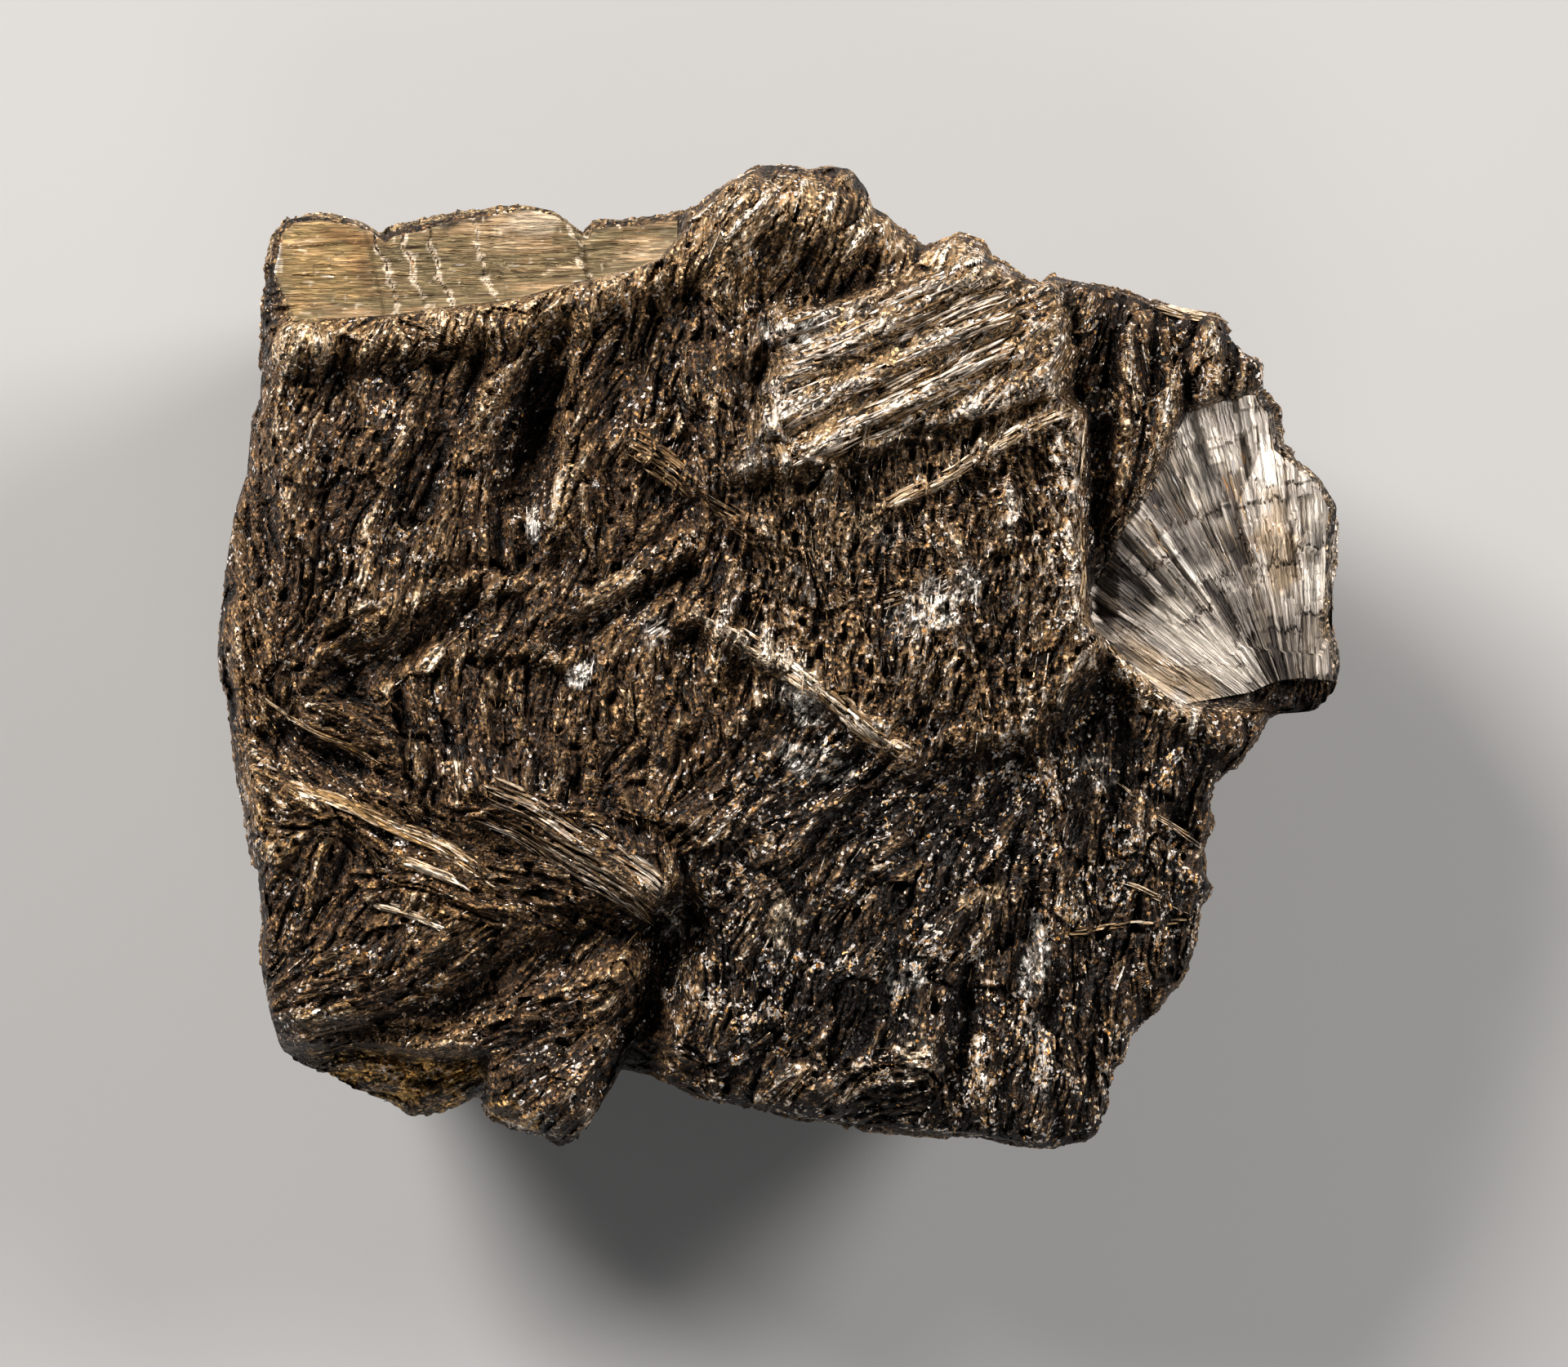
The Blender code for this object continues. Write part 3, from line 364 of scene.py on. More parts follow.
@dataclass
class SpecimenForm:
    """The specimen's surface as functions of place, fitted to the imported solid's box.

    The display face is a height over X and Y. The walls and the foot come from a cube's surface spread
    over the outline, trimmed by flat fractures.
    """

    middle_height: float = 34.5
    dome_fall: float = 0.0022
    rim_inset: float = 0.8
    foot_inset: float = 3.0
    widest_share: float = 0.32
    widest_height: float = 22.0
    widest_band: float = 8.0
    softening: float = math.radians(12)
    corner_reach: Place = (47.0, 41.0)
    rib_x: tuple[float, ...] = (29.0, 32.6, 36.2)
    rib_ends: Place = (29.0, 17.5)
    rib_width: float = 1.5
    rib_height: float = 1.6
    band_angle: float = math.radians(27)
    band_start: Place = (1.5, 16.6)
    band_pitch: float = 3.3
    band_lines: int = 4
    band_reach: float = 21.0
    band_width: float = 1.4
    band_height: float = 1.1
    band_ends: float = 2.0
    block_size: float = 9.0
    block_step: float = 2.4
    block_tilt: float = 0.22
    blocks_start: Place = (30.0, 6.0)  # distance from the axis, and the fade
    blocks_height: Place = (12.0, 20.0)  # where they are deepest, and their reach about it
    fan_apex: Place = (45.7, -5.8)
    fan_blade_angle: float = math.radians(7.5)
    fan_step: float = 1.5
    fan_break: float = 7.0
    fan_break_step: float = 0.9
    fan_calm: float = 9.0
    calm_share: float = 0.85  # of the broad streaks, missing on the fan and the slab
    ridge_spread: float = 1.6
    mound_spread: float = 1.4
    square_share: float = 0.3  # of the cube's face, where its corners are still square
    rise_fade: int = 12
    slab_blocks: tuple[Place, ...] = ((-34.6, -0.6), (-29.0, -0.2), (-24.0, 0.3), (-16.8, -0.9))
    slab_lean: float = 0.25
    slab_cut_width: float = 0.4
    stroke_reach: float = 4.5
    grain_ways: int = 16
    broad_grades: tuple[Tone, ...] = ((2.4, 12.0, 1.5), (1.3, 6.0, 0.8))
    fit_lattice: tuple[int, int, int] = (96, 86, 22)
    low: Array = field(init=False)
    high: Array = field(init=False)
    raw_low: Array = field(init=False)
    raw_high: Array = field(init=False)

    def __post_init__(self) -> None:
        """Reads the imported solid's box, and the box of the form before it is fitted to that."""
        self.low, self.high = (np.array(corner, float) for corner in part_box(NODE))
        a, b, c = (np.linspace(-1.0, 1.0, cuts + 1) for cuts in self.fit_lattice)
        grid = np.stack(np.meshgrid(a, b, c, indexing="ij"), -1).reshape(-1, 3)
        skin = grid[np.abs(grid).max(1) == 1.0]
        points = self.surface(skin)
        self.raw_low, self.raw_high = points.min(0), points.max(0)

    def radius(self, bearing: Array) -> Array:
        """Distance from the middle to the outline at a bearing, read along the outline's points."""
        points = np.array(OUTLINE)
        bearings = np.arctan2(points[:, 1], points[:, 0])
        return np.interp(bearing, bearings, np.hypot(*points.T), period=2.0 * math.pi)

    def soft_radius(self, bearing: Array) -> Array:
        """The outline's radius averaged over the bearings about it, without its notches."""
        turns = np.linspace(-self.softening, self.softening, 9)
        return np.mean([self.radius(bearing + turn) for turn in turns], axis=0)

    def fibre_angle(self, x: Array, y: Array) -> Array:
        """Direction of the fibres in radians: the strokes near a point averaged as doubled angles."""
        across, along = 0.0, 1e-9
        for sx, sy, degrees in STROKES:
            pull = 1.0 / (1.0 + ((x - sx) ** 2 + (y - sy) ** 2) / self.stroke_reach**2) ** 3
            across = across + pull * math.sin(math.radians(2 * degrees))
            along = along + pull * math.cos(math.radians(2 * degrees))
        return 0.5 * np.arctan2(across, along) % math.pi

    def grain(self, x: Array, y: Array, angle: Array, width: float, length: float, seed: float) -> Array:
        """Streaks from -1 to 1 along the fibres: noise stretched along the two nearest of a ring of ways.

        Args:
            x, y: places.
            angle: direction of the fibres there, in radians.
            width, length: size of a streak.
            seed: which of many patterns.
        """
        turn = angle * self.grain_ways / math.pi
        first = np.floor(turn)
        total, power = 0.0, 0.0
        for number in (first, first + 1):
            weight = 1.0 - np.abs(turn - number)
            along, across = turned(x, y, number * math.pi / self.grain_ways)
            layer = 7.3 * (number % self.grain_ways)
            total = total + weight * noise(along / length, across / width, layer, seed)
            power = power + weight**2
        return total / np.sqrt(power)

    def fan_terraces(self, x: Array, y: Array) -> Array:
        """Blades of the fan at unlike heights, each broken across in steps."""
        dx, dy = x - self.fan_apex[0], y - self.fan_apex[1]
        blade = np.floor(np.arctan2(dy, dx) / self.fan_blade_angle)
        break_at = np.floor(np.hypot(dx, dy) / self.fan_break + lattice(blade, 0, 0, 3))
        tops = (lattice(blade, 1, 0, 4) - 0.5) * self.fan_step
        tops = tops + (lattice(blade, break_at, 0, 5) - 0.5) * self.fan_break_step
        return tops * step(np.hypot(dx, dy), self.fan_calm, self.fan_calm)

    def slab_terraces(self, x: Array, y: Array) -> Array:
        """Blocks of the cleavage slab, parted by cross fractures that lean."""
        along = x + self.slab_lean * (y - SLAB.middle[1])
        return sum(tall * step(along, start, self.slab_cut_width) for start, tall in self.slab_blocks)

    def splinter_band(self, x: Array, y: Array) -> Array:
        """Parallel raised splinters of the band."""
        dx, dy = x - self.band_start[0], y - self.band_start[1]
        along, across = turned(dx, dy, self.band_angle)
        ends = smooth((along + self.band_ends) / self.band_ends)
        ends = ends * smooth((self.band_reach - along) / self.band_ends)
        lines = (bell((across - self.band_pitch * n) / self.band_width) for n in range(self.band_lines))
        return self.band_height * ends * sum(lines)

    def recess_ribs(self, x: Array, y: Array) -> Array:
        """Upright ribs of fibre in the recess behind the plateau."""
        top, foot = self.rib_ends
        ends = smooth((top - y) / self.band_ends) * smooth((y - foot) / self.band_ends)
        return self.rib_height * ends * sum(bell((x - rib) / self.rib_width) for rib in self.rib_x)

    def rim_fall(self, x: Array, y: Array) -> Array:
        """How far the display face has rolled over near the outline, as a quarter of an ellipse."""
        bearing = np.arctan2(y, x)
        degrees, drops, widths = np.array(RIM_ROLL, float).T
        drop = np.interp(np.degrees(bearing), degrees, drops, period=360.0)
        width = np.interp(np.degrees(bearing), degrees, widths, period=360.0)
        share = np.clip((self.radius(bearing) - np.hypot(x, y)) / width, 0.0, 1.0)
        return drop * (1.0 - np.sqrt(1.0 - (1.0 - share) ** 2))

    def height(self, x: Array, y: Array) -> Array:
        """Height of the display face: a dome, then facets, ridges, mounds, terraces and streaks."""
        height = self.middle_height - self.dome_fall * (x**2 + y**2)
        for facet in (LOWER_RIGHT, PLATEAU, BAND, RECESS, FAN, SLAB, LOWER_LEFT, STRIPED_FOOT):
            height = height + (facet.plane(x, y) - height) * facet.inside(x, y)
        for ridge in RIDGES:
            away = distance_to_line(x, y, ridge.line) / (self.ridge_spread * ridge.width)
            height = height + ridge.height * bell(away)
        for mound in MOUNDS:
            reach = np.hypot((x - mound.centre[0]) / mound.radii[0], (y - mound.centre[1]) / mound.radii[1])
            height = height + mound.height * bell(reach / self.mound_spread)
        fan, slab = FAN.inside(x, y), SLAB.inside(x, y)
        height = height + fan * self.fan_terraces(x, y) + slab * self.slab_terraces(x, y)
        height = height + self.splinter_band(x, y) + (1.0 - fan) * self.recess_ribs(x, y)
        angle, fibrous = self.fibre_angle(x, y), 1.0 - self.calm_share * np.maximum(fan, slab)
        for seed, (width, length, tall) in enumerate(self.broad_grades):
            height = height + 0.5 * tall * fibrous * self.grain(x, y, angle, width, length, seed)
        return height - self.rim_fall(x, y)

    def surface(self, cube: Array, rise: Callable[[Array, Array], Array] | None = None) -> Array:
        """The unfitted surface for points of a cube's surface, each coordinate from -1 to 1.

        A point keeps its bearing. Its distance from the axis is a share of the outline's radius, and its
        depth down the cube is its depth down the wall. Blocks and fractures then trim the wall.

        Args:
            cube: the points of the cube's surface.
            rise: what is added to the display face's height, fading out at the rim.
        """
        a, b, c = cube.T
        reach = np.maximum(np.abs(a), np.abs(b))
        bearing = np.arctan2(b, a)
        rim = self.radius(bearing)
        wide, deep = self.corner_reach
        squarish = (np.abs(np.cos(bearing) / wide) ** 4 + np.abs(np.sin(bearing) / deep) ** 4) ** -0.25
        down = (1.0 - c) / 2.0
        below = step(down, self.widest_share, 1.0 - self.widest_share)
        top_side = self.rim_inset * np.clip(1.0 - down / self.widest_share, 0.0, 1.0) ** 2
        edge = rim - top_side + (self.soft_radius(bearing) - self.foot_inset - rim) * below
        rounded = step(reach, self.square_share, 1.0 - self.square_share)
        radius = reach * blend(squarish, edge, rounded)
        x, y = radius * np.cos(bearing), radius * np.sin(bearing)
        height = self.height(x, y)
        if rise is not None:
            height = height + rise(x, y) * (1.0 - down) ** self.rise_fade
        return self.trimmed(np.column_stack([x, y, height * (1.0 - down)]))

    def trimmed(self, points: Array) -> Array:
        """Steps the walls back block by block, then moves what lies beyond each fracture onto it."""
        x, y, z = points.T
        out = np.maximum(np.hypot(x, y), 1.0)
        start, fade = self.blocks_start
        middle, span = self.blocks_height
        on_wall = step(out, start, fade) * (1.0 - bell((z - self.widest_height) / self.widest_band))
        inward = -self.block_depth(points) * on_wall * bell((z - middle) / span)
        points = points + np.column_stack([x / out, y / out, np.zeros_like(x)]) * inward[:, None]
        for chip in CHIPS:
            bearing, dip = math.radians(chip.bearing), math.radians(chip.dip)
            outward = np.array([math.cos(bearing), math.sin(bearing), 0.0])
            facing = math.cos(dip) * outward - np.array([0.0, 0.0, math.sin(dip)])
            outermost = np.max(np.array(OUTLINE) @ outward[:2])
            leaves_at = outermost * outward + np.array([0.0, 0.0, chip.height])
            beyond = np.clip((points - leaves_at) @ facing, 0.0, None)
            points = points - beyond[:, None] * facing
        return points

    def block_depth(self, points: Array) -> Array:
        """How far each place is stepped back by the block whose middle is nearest: a step and a tilt."""
        places = points.T
        cells = [np.floor(v / self.block_size) for v in places]
        nearest, depth = np.full(len(points), np.inf), np.zeros(len(points))
        for offset in itertools.product(NEIGHBOURS, repeat=3):
            cell = [c + o for c, o in zip(cells, offset)]
            away = [v - self.block_size * (c + lattice(*cell, 20 + n))
                    for n, (v, c) in enumerate(zip(places, cell))]
            far = np.sqrt(away[0] ** 2 + away[1] ** 2 + away[2] ** 2)
            tilts = [self.block_tilt * blend(-1.0, 1.0, lattice(*cell, 30 + n)) for n in range(3)]
            own = self.block_step * lattice(*cell, 40) + sum(t * v for t, v in zip(tilts, away))
            depth = np.where(far < nearest, own, depth)
            nearest = np.minimum(far, nearest)
        return np.clip(depth, 0.0, None)

    def face(self, x: Array, y: Array) -> Array:
        """Unfitted points of the display face at places seen from above."""
        return self.trimmed(np.column_stack([x, y, self.height(x, y)]))

    def fitted(self, points: Array) -> Array:
        """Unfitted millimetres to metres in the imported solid's box, held inside it."""
        share = (points - self.raw_low) / (self.raw_high - self.raw_low)
        return np.clip(self.low + share * (self.high - self.low), self.low, self.high)


# ---- fibrous relief


@dataclass
class Fabric:
    """What the fibres do at each place: relief in millimetres, and parts from 0 to 1 that colour it, crests
    with painted highlight and hollows with painted shade.
    """

    rise: Array
    crest: Array
    hollow: Array
    streak: Array
    own: Array
    along: Array
    across: Array

    def shaped(self, shape: tuple[int, ...]) -> "Fabric":
        """The same fabric with its places on a grid."""
        parts = (self.rise, self.crest, self.hollow, self.streak, self.own, self.along, self.across)
        return Fabric(*(part.reshape(shape) for part in parts))

    def share(self, base: float, crest: float, hollow: float, streak: float, own: float) -> Array:
        """Where to read a row of tones: a base, and weights for the parts of the fabric; the crest weight
        paints highlight on crests and the hollow weight paints shade in hollows.
        """
        lit = base + crest * self.crest - hollow * self.hollow
        return lit + streak * self.streak + own * (self.own - 0.5)


@dataclass(frozen=True)
class Strand:
    """A size of strand: millimetres along and across the fibres, its share in a sum, and its pattern."""

    long: float
    wide: float
    share: float
    seed: int

    def at(self, along: Array, across: Array, number: Array, shrink: Array | float = 1.0) -> Array:
        """Noise stretched along the fibres, from -1 to 1."""
        return noise(along / (self.long * shrink), across / self.wide, number, self.seed)


def cell_margin(u: Array, v: Array, number: Array, seed: float) -> Array:
    """How much nearer the nearest of scattered points is than the next: 0 on the border of two cells."""
    column, row = np.floor(u), np.floor(v)
    best, second = np.full(u.shape, np.inf), np.full(u.shape, np.inf)
    for i, j in itertools.product(NEIGHBOURS, repeat=2):
        a, b = column + i, row + j
        far_u = a + lattice(a, b, number, seed) - u
        far_v = b + lattice(a, b, number, seed + 0.5) - v
        far = np.hypot(far_u, far_v)
        second = np.minimum(second, np.maximum(far, best))
        best = np.minimum(far, best)
    return second - best


@dataclass(frozen=True)
class Weave:
    """Crinkled strands at four scales with gaps between them, and thin-walled cells where it is coarse.

    The strands stand where a sum of stretched noises is high, and the gaps lie where it is low. The cells
    are those of scattered points, stretched along the fibres. A pair of numbers is the start and the width
    of a smooth step.
    """

    drifts: tuple[Strand, ...] = (Strand(3.4, 2.4, 0.50, 21), Strand(0.9, 0.7, 0.12, 22))
    ropes: Strand = Strand(7.5, 0.9, 0.50, 23)
    cords: Strand = Strand(4.6, 0.42, 0.52, 24)
    threads: Strand = Strand(3.2, 0.25, 0.52, 25)
    crumbs: Strand = Strand(0.42, 0.3, 0.20, 26)
    pits: Strand = Strand(1.3, 0.8, 0.45, 28)
    pit_step: Place = (0.62, 0.2)
    crest_step: Place = (0.05, 0.7)
    hollow_step: Place = (0.15, 0.5)
    cell_size: Place = (1.75, 0.85)
    cell_seed: int = 29
    cell_wall: Place = (0.0, 0.25)
    cell_floor: Place = (0.2, 0.5)
    coarse_crest: float = 0.8
    coarse_hollow: float = 0.7
    coarse_shrink: float = 0.45

    def fabric(self, along: Array, across: Array, number: Array, own: Array, coarse: Array) -> Fabric:
        """The fabric at places in the frames of their bundles of fibres.

        Args:
            along, across: millimetres in the frame of the bundle.
            number, own: the bundle's number, and a random value from 0 to 1 for it.
            coarse: from 0 to 1, how far the cells replace the gaps.
        """
        wavy = across
        for drift in self.drifts:
            wavy = wavy + drift.share * drift.at(along, across, number)
        shrink = 1.0 - self.coarse_shrink * coarse
        fine, crumb = self.threads.at(along, wavy, number, shrink), self.crumbs.at(along, across, number)
        swell = sum(size.share * size.at(along, wavy, number, shrink) for size in (self.ropes, self.cords))
        swell = swell + self.threads.share * fine + self.crumbs.share * crumb
        long, wide = self.cell_size
        margin = cell_margin(along / long + 0.35 * crumb, wavy / wide, number, self.cell_seed) + 0.12 * fine
        pit = step(self.pits.at(along, across, number), *self.pit_step)
        crest, hollow = step(swell, *self.crest_step), step(-swell, *self.hollow_step)
        wall, floor = 1.0 - step(margin, *self.cell_wall), step(margin, *self.cell_floor)
        crest = blend(crest, np.maximum(0.5 * crest, wall), self.coarse_crest * coarse)
        hollow = blend(hollow, np.maximum(0.5 * hollow, floor), self.coarse_hollow * coarse)
        hollow = np.maximum(hollow, pit)
        rise = 0.20 * crest - (0.36 + 0.22 * coarse) * hollow
        rise = rise + 0.10 * fine + 0.06 * crumb - self.pits.share * pit
        return Fabric(rise, crest, hollow, fine + 0.6 * crumb, own, along, across)


@dataclass
class FaceSheaves:
    """Bundles of fibres over the display face: each lies along the grain at its own middle."""

    form: SpecimenForm
    pitch: float = 4.0
    stretch: float = 2.3
    turn: float = math.radians(17)
    wander: float = 0.9
    wander_size: float = 2.6
    reach: int = 16
    steps: float = 0.9
    tilt: float = 0.20
    suture: float = 0.35
    suture_depth: float = 0.15
    coarse: float = 0.35  # of the lower right, where the plateau's is 1
    band_calm: float = 0.45
    weave: Weave = Weave()
    folds: tuple[Tone, ...] = ((1.7, 8.0, 0.75), (0.8, 4.5, 0.32))

    def __post_init__(self) -> None:
        """Places the middles on a jittered lattice and turns each to the grain there."""
        row = np.arange(-self.reach, self.reach + 1)
        i, j = (place.ravel() for place in np.meshgrid(row, row, indexing="ij"))
        self.x = (i + lattice(i, j, 0, 11)) * self.pitch
        self.y = (j + lattice(i, j, 0, 12)) * self.pitch
        self.angle = self.form.fibre_angle(self.x, self.y) + self.turn * signed(i, j, 13)

    def framed(self, x: Array, y: Array, number: Array) -> tuple[Array, Array]:
        """Millimetres along and across the bundles of the given numbers."""
        return turned(x - self.x[number], y - self.y[number], self.angle[number])

    def nearest(self, x: Array, y: Array) -> tuple[Array, Array]:
        """Number of the bundle at each place, and how much nearer it is than the next one."""
        x = x + self.wander * flat_noise(x / self.wander_size, y / self.wander_size, 14)
        y = y + self.wander * flat_noise(x / self.wander_size, y / self.wander_size, 15)
        column, row = (np.floor(v / self.pitch).astype(int) + self.reach for v in (x, y))
        last, side = 2 * self.reach, 2 * self.reach + 1
        best, second = np.full(x.shape, np.inf), np.full(x.shape, np.inf)
        number = np.zeros(x.shape, int)
        for i, j in itertools.product(range(-2, 3), repeat=2):
            other = np.clip(column + i, 0, last) * side + np.clip(row + j, 0, last)
            along, across = self.framed(x, y, other)
            far = np.hypot(along / self.stretch, across)
            second = np.minimum(second, np.maximum(far, best))
            number = np.where(far < best, other, number)
            best = np.minimum(far, best)
        return number, second - best

    def fabric(self, x: Array, y: Array) -> tuple[Fabric, Array]:
        """The fabric of the display face, and the number of the bundle at each place."""
        number, margin = self.nearest(x, y)
        along, across = self.framed(x, y, number)
        own = lattice(number, 0, 0, 16)
        coarse = np.maximum(PLATEAU.inside(x, y), self.coarse * LOWER_RIGHT.inside(x, y))
        made = self.weave.fabric(along, across, number.astype(float), own, coarse)
        made.rise = made.rise + self.steps * (own - 0.5) + self.tilt * signed(number, 0, 17) * across
        made.rise = made.rise - self.suture_depth * (1.0 - smooth(margin / self.suture))
        return made, number

    def draped(self, x: Array, y: Array) -> Array:
        """Folds of the fibres: streaks that follow them, deeper away from the plateau."""
        angle = self.form.fibre_angle(x, y)
        folds = sum(
            tall * self.form.grain(x, y, angle, width, length, 31 + seed)
            for seed, (width, length, tall) in enumerate(self.folds))
        return folds * (1.0 - 0.7 * PLATEAU.inside(x, y))

    def rise(self, x: Array, y: Array) -> Array:
        """Relief of the fibres over the display face, shallower in the band and none in fan and slab."""
        made, _ = self.fabric(x, y)
        made.rise = made.rise + self.draped(x, y)
        bare = np.maximum(FAN.inside(x, y) * (1.0 - BLOCK.inside(x, y)), SLAB.inside(x, y))
        return made.rise * (1.0 - self.band_calm * BAND.inside(x, y)) * (1.0 - bare)


@dataclass
class WallSheaves:
    """Bundles of fibres over the walls: each lies in the wall at its own middle, steep or level."""

    pitch: float = 7.0
    wander: float = 1.4
    steepness: float = math.radians(85)
    spread: float = math.radians(70)
    steps: float = 0.7
    coarse: float = 0.3
    weave: Weave = Weave()

    def fabric(self, points: Array) -> Fabric:
        """The fabric at places: each takes the nearest middle, and an axis in the upright plane there."""
        x, y, z = points.T
        drift = [self.wander * noise(x / 4.0, y / 4.0, z / 4.0, 50 + n) for n in range(3)]
        places = [v + aside for v, aside in zip((x, y, z), drift)]
        cells = [np.floor(v / self.pitch) for v in places]
        best, number = np.full(len(x), np.inf), np.zeros(len(x))
        middle = [np.zeros(len(x)) for _ in range(3)]
        for offset in itertools.product(NEIGHBOURS, repeat=3):
            cell = [c + o for c, o in zip(cells, offset)]
            own = [self.pitch * (c + lattice(*cell, 53 + n)) for n, c in enumerate(cell)]
            far = sum((v - o) ** 2 for v, o in zip(places, own))
            number = np.where(far < best, np.floor(3500.0 * lattice(*cell, 56)), number)
            middle = [np.where(far < best, o, m) for o, m in zip(own, middle)]
            best = np.minimum(best, far)
        out = np.maximum(np.hypot(middle[0], middle[1]), 1.0)
        level = (-middle[1] / out, middle[0] / out)
        sideways = (x - middle[0]) * level[0] + (y - middle[1]) * level[1]
        angle = self.steepness + self.spread * signed(number, 0, 57)
        along, across = turned(sideways, z - middle[2], angle)
        own = lattice(number, 0, 0, 58)
        made = self.weave.fabric(along, across, number, own, np.full(len(x), self.coarse))
        made.rise = 0.8 * made.rise + self.steps * (own - 0.7)
        return made


# ---- meshes


def placed(name: str, data: bpy.types.ID) -> Object:
    """A new object of the scene, at the origin."""
    made = bpy.data.objects.new(name, data)
    bpy.context.scene.collection.objects.link(made)
    return made


def make_mesh(
    name: str, points: Array, faces: list[list[int]], tints: Array, maps: dict[str, Array]
) -> Object:
    """Puts arrays into a mesh object at the origin.

    Args:
        name: name of the object and its mesh.
        points: vertices in metres.
        faces: vertex numbers of each face.
        tints: red, green, blue and share of glinting facets of each vertex.
        maps: for each UV map, one row per face corner.
    """
    mesh = bpy.data.meshes.new(name)
    mesh.from_pydata(points.astype(np.float32), [], faces)
    colours = mesh.attributes.new(TINT, "FLOAT_COLOR", "POINT")
    colours.data.foreach_set("color", tints.astype(np.float32).ravel())
    for map_name, corners in maps.items():
        layer = mesh.uv_layers.new(name=map_name)
        layer.data.foreach_set("uv", corners.astype(np.float32).ravel())
    mesh.update()
    return placed(name, mesh)


@dataclass
class Sheet:
    """A grid of places that becomes one mesh, facing along the cross product of its two ways.

    Grain has the four corners of each quad, in millimetres along and across the fibres.
    """

    points: Array
    tints: Array
    grain: Array

    RIM = 0.004  # what the bake map leaves free round its edge

    @staticmethod
    def corners(grid: Array) -> Array:
        """The values at the four corners of every quad of a grid."""
        return np.stack([grid[:-1, :-1], grid[1:, :-1], grid[1:, 1:], grid[:-1, 1:]], axis=2)

    def build(self, name: str, form: SpecimenForm) -> Object:
        """Makes the mesh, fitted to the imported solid's box."""
        columns, rows = (n - 1 for n in self.points.shape[:2])
        number = np.arange(self.points[..., 0].size).reshape(self.points.shape[:2])
        square = np.stack(np.meshgrid(
            np.linspace(self.RIM, 1.0 - self.RIM, columns + 1),
            np.linspace(self.RIM, 1.0 - self.RIM, rows + 1), indexing="ij"), axis=-1)
        maps = {BAKE_MAP: self.corners(square).reshape(-1, 2), GRAIN_MAP: self.grain.reshape(-1, 2)}
        points = form.fitted(self.points.reshape(-1, 3))
        faces = self.corners(number).reshape(-1, 4).tolist()
        return make_mesh(name, points, faces, self.tints.reshape(-1, 4), maps)


def blurred(grid: Array, reach: int) -> Array:
    """The mean of a grid over squares of 2 * reach + 1 places, by running sums along each way."""
    for axis in (0, 1):
        width = [(0, 0), (0, 0)]
        width[axis] = (reach + 1, reach)
        total = np.cumsum(np.pad(grid, width, mode="edge"), axis=axis)
        upper = np.take(total, np.arange(2 * reach + 1, total.shape[axis]), axis=axis)
        lower = np.take(total, np.arange(total.shape[axis] - 2 * reach - 1), axis=axis)
        grid = (upper - lower) / (2 * reach + 1)
    return grid


@dataclass
class Crystals:
    """Many crystals as one mesh: each a four-sided prism with a size at either end.

    Every field has one row per crystal.
    """

    centre: Array
    axis: Array
    up: Array
    length: Array
    width: Array
    thickness: Array
    near_end: Array
    far_end: Array
    tone: Array
    shine: Array

    RIM = 0.06  # what each crystal's cell of the bake map leaves free
    CORNERS = np.array([(-0.5, -0.5), (0.5, -0.5), (0.5, 0.5), (-0.5, 0.5)])
    FACES = np.array([(0, 1, 5, 4), (1, 2, 6, 5), (2, 3, 7, 6), (3, 0, 4, 7), (3, 2, 1, 0), (4, 5, 6, 7)])

    def points(self) -> Array:
        """Corners of the two end sections of every crystal: centre + axis * l/2 + side * w + up * t."""
        axis = unit(self.axis)
        side = unit(np.cross(self.up, axis))
        up = np.cross(axis, side)
        rings = []
        for way, size in ((-0.5, self.near_end), (0.5, self.far_end)):
            middle = self.centre + axis * (way * self.length)[:, None]
            for across, rise in self.CORNERS:
                corner = middle + side * (across * size * self.width)[:, None]
                rings.append(corner + up * (rise * size * self.thickness)[:, None])
        return np.stack(rings, axis=1)

    def bake_corners(self) -> Array:
        """A square cell of the bake map for every crystal, its six faces side by side as strips."""
        index = np.arange(len(self.length))
        cells = math.ceil(math.sqrt(len(index)))
        corner = np.column_stack([index % cells, index // cells])[:, None, None, :]
        low, high = self.RIM, 1.0 - self.RIM
        strips = np.linspace(low, high, len(self.FACES) + 1)
        faces = [[(a, low), (b, low), (b, high), (a, high)] for a, b in zip(strips[:-1], strips[1:])]
        return ((corner + np.array(faces)[None]) / cells).reshape(-1, 2)

    def grain_corners(self, rng: np.random.Generator) -> Array:
        """Millimetres along and across each crystal, from a random start, for streaks along it."""
        start = rng.uniform(0.0, 400.0, (len(self.length), 1, 2))
        ways = np.array([(end, side) for end in (-0.5, 0.5) for side in range(4)])
        size = np.column_stack([self.length, self.width])[:, None, :]
        corners = start + ways[None] * size
        return corners[:, self.FACES].reshape(-1, 2)

    def build(self, name: str, form: SpecimenForm, rng: np.random.Generator) -> Object:
        """Makes the joined mesh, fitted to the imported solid's box."""
        points = self.points()
        numbers = np.arange(len(points))[:, None, None] * 8
        faces = (self.FACES[None] + numbers).reshape(-1, 4)
        tints = np.repeat(np.column_stack([self.tone, self.shine]), 8, axis=0)
        maps = {BAKE_MAP: self.bake_corners(), GRAIN_MAP: self.grain_corners(rng)}
        return make_mesh(name, form.fitted(points.reshape(-1, 3)), faces.tolist(), tints, maps)


# ---- shading


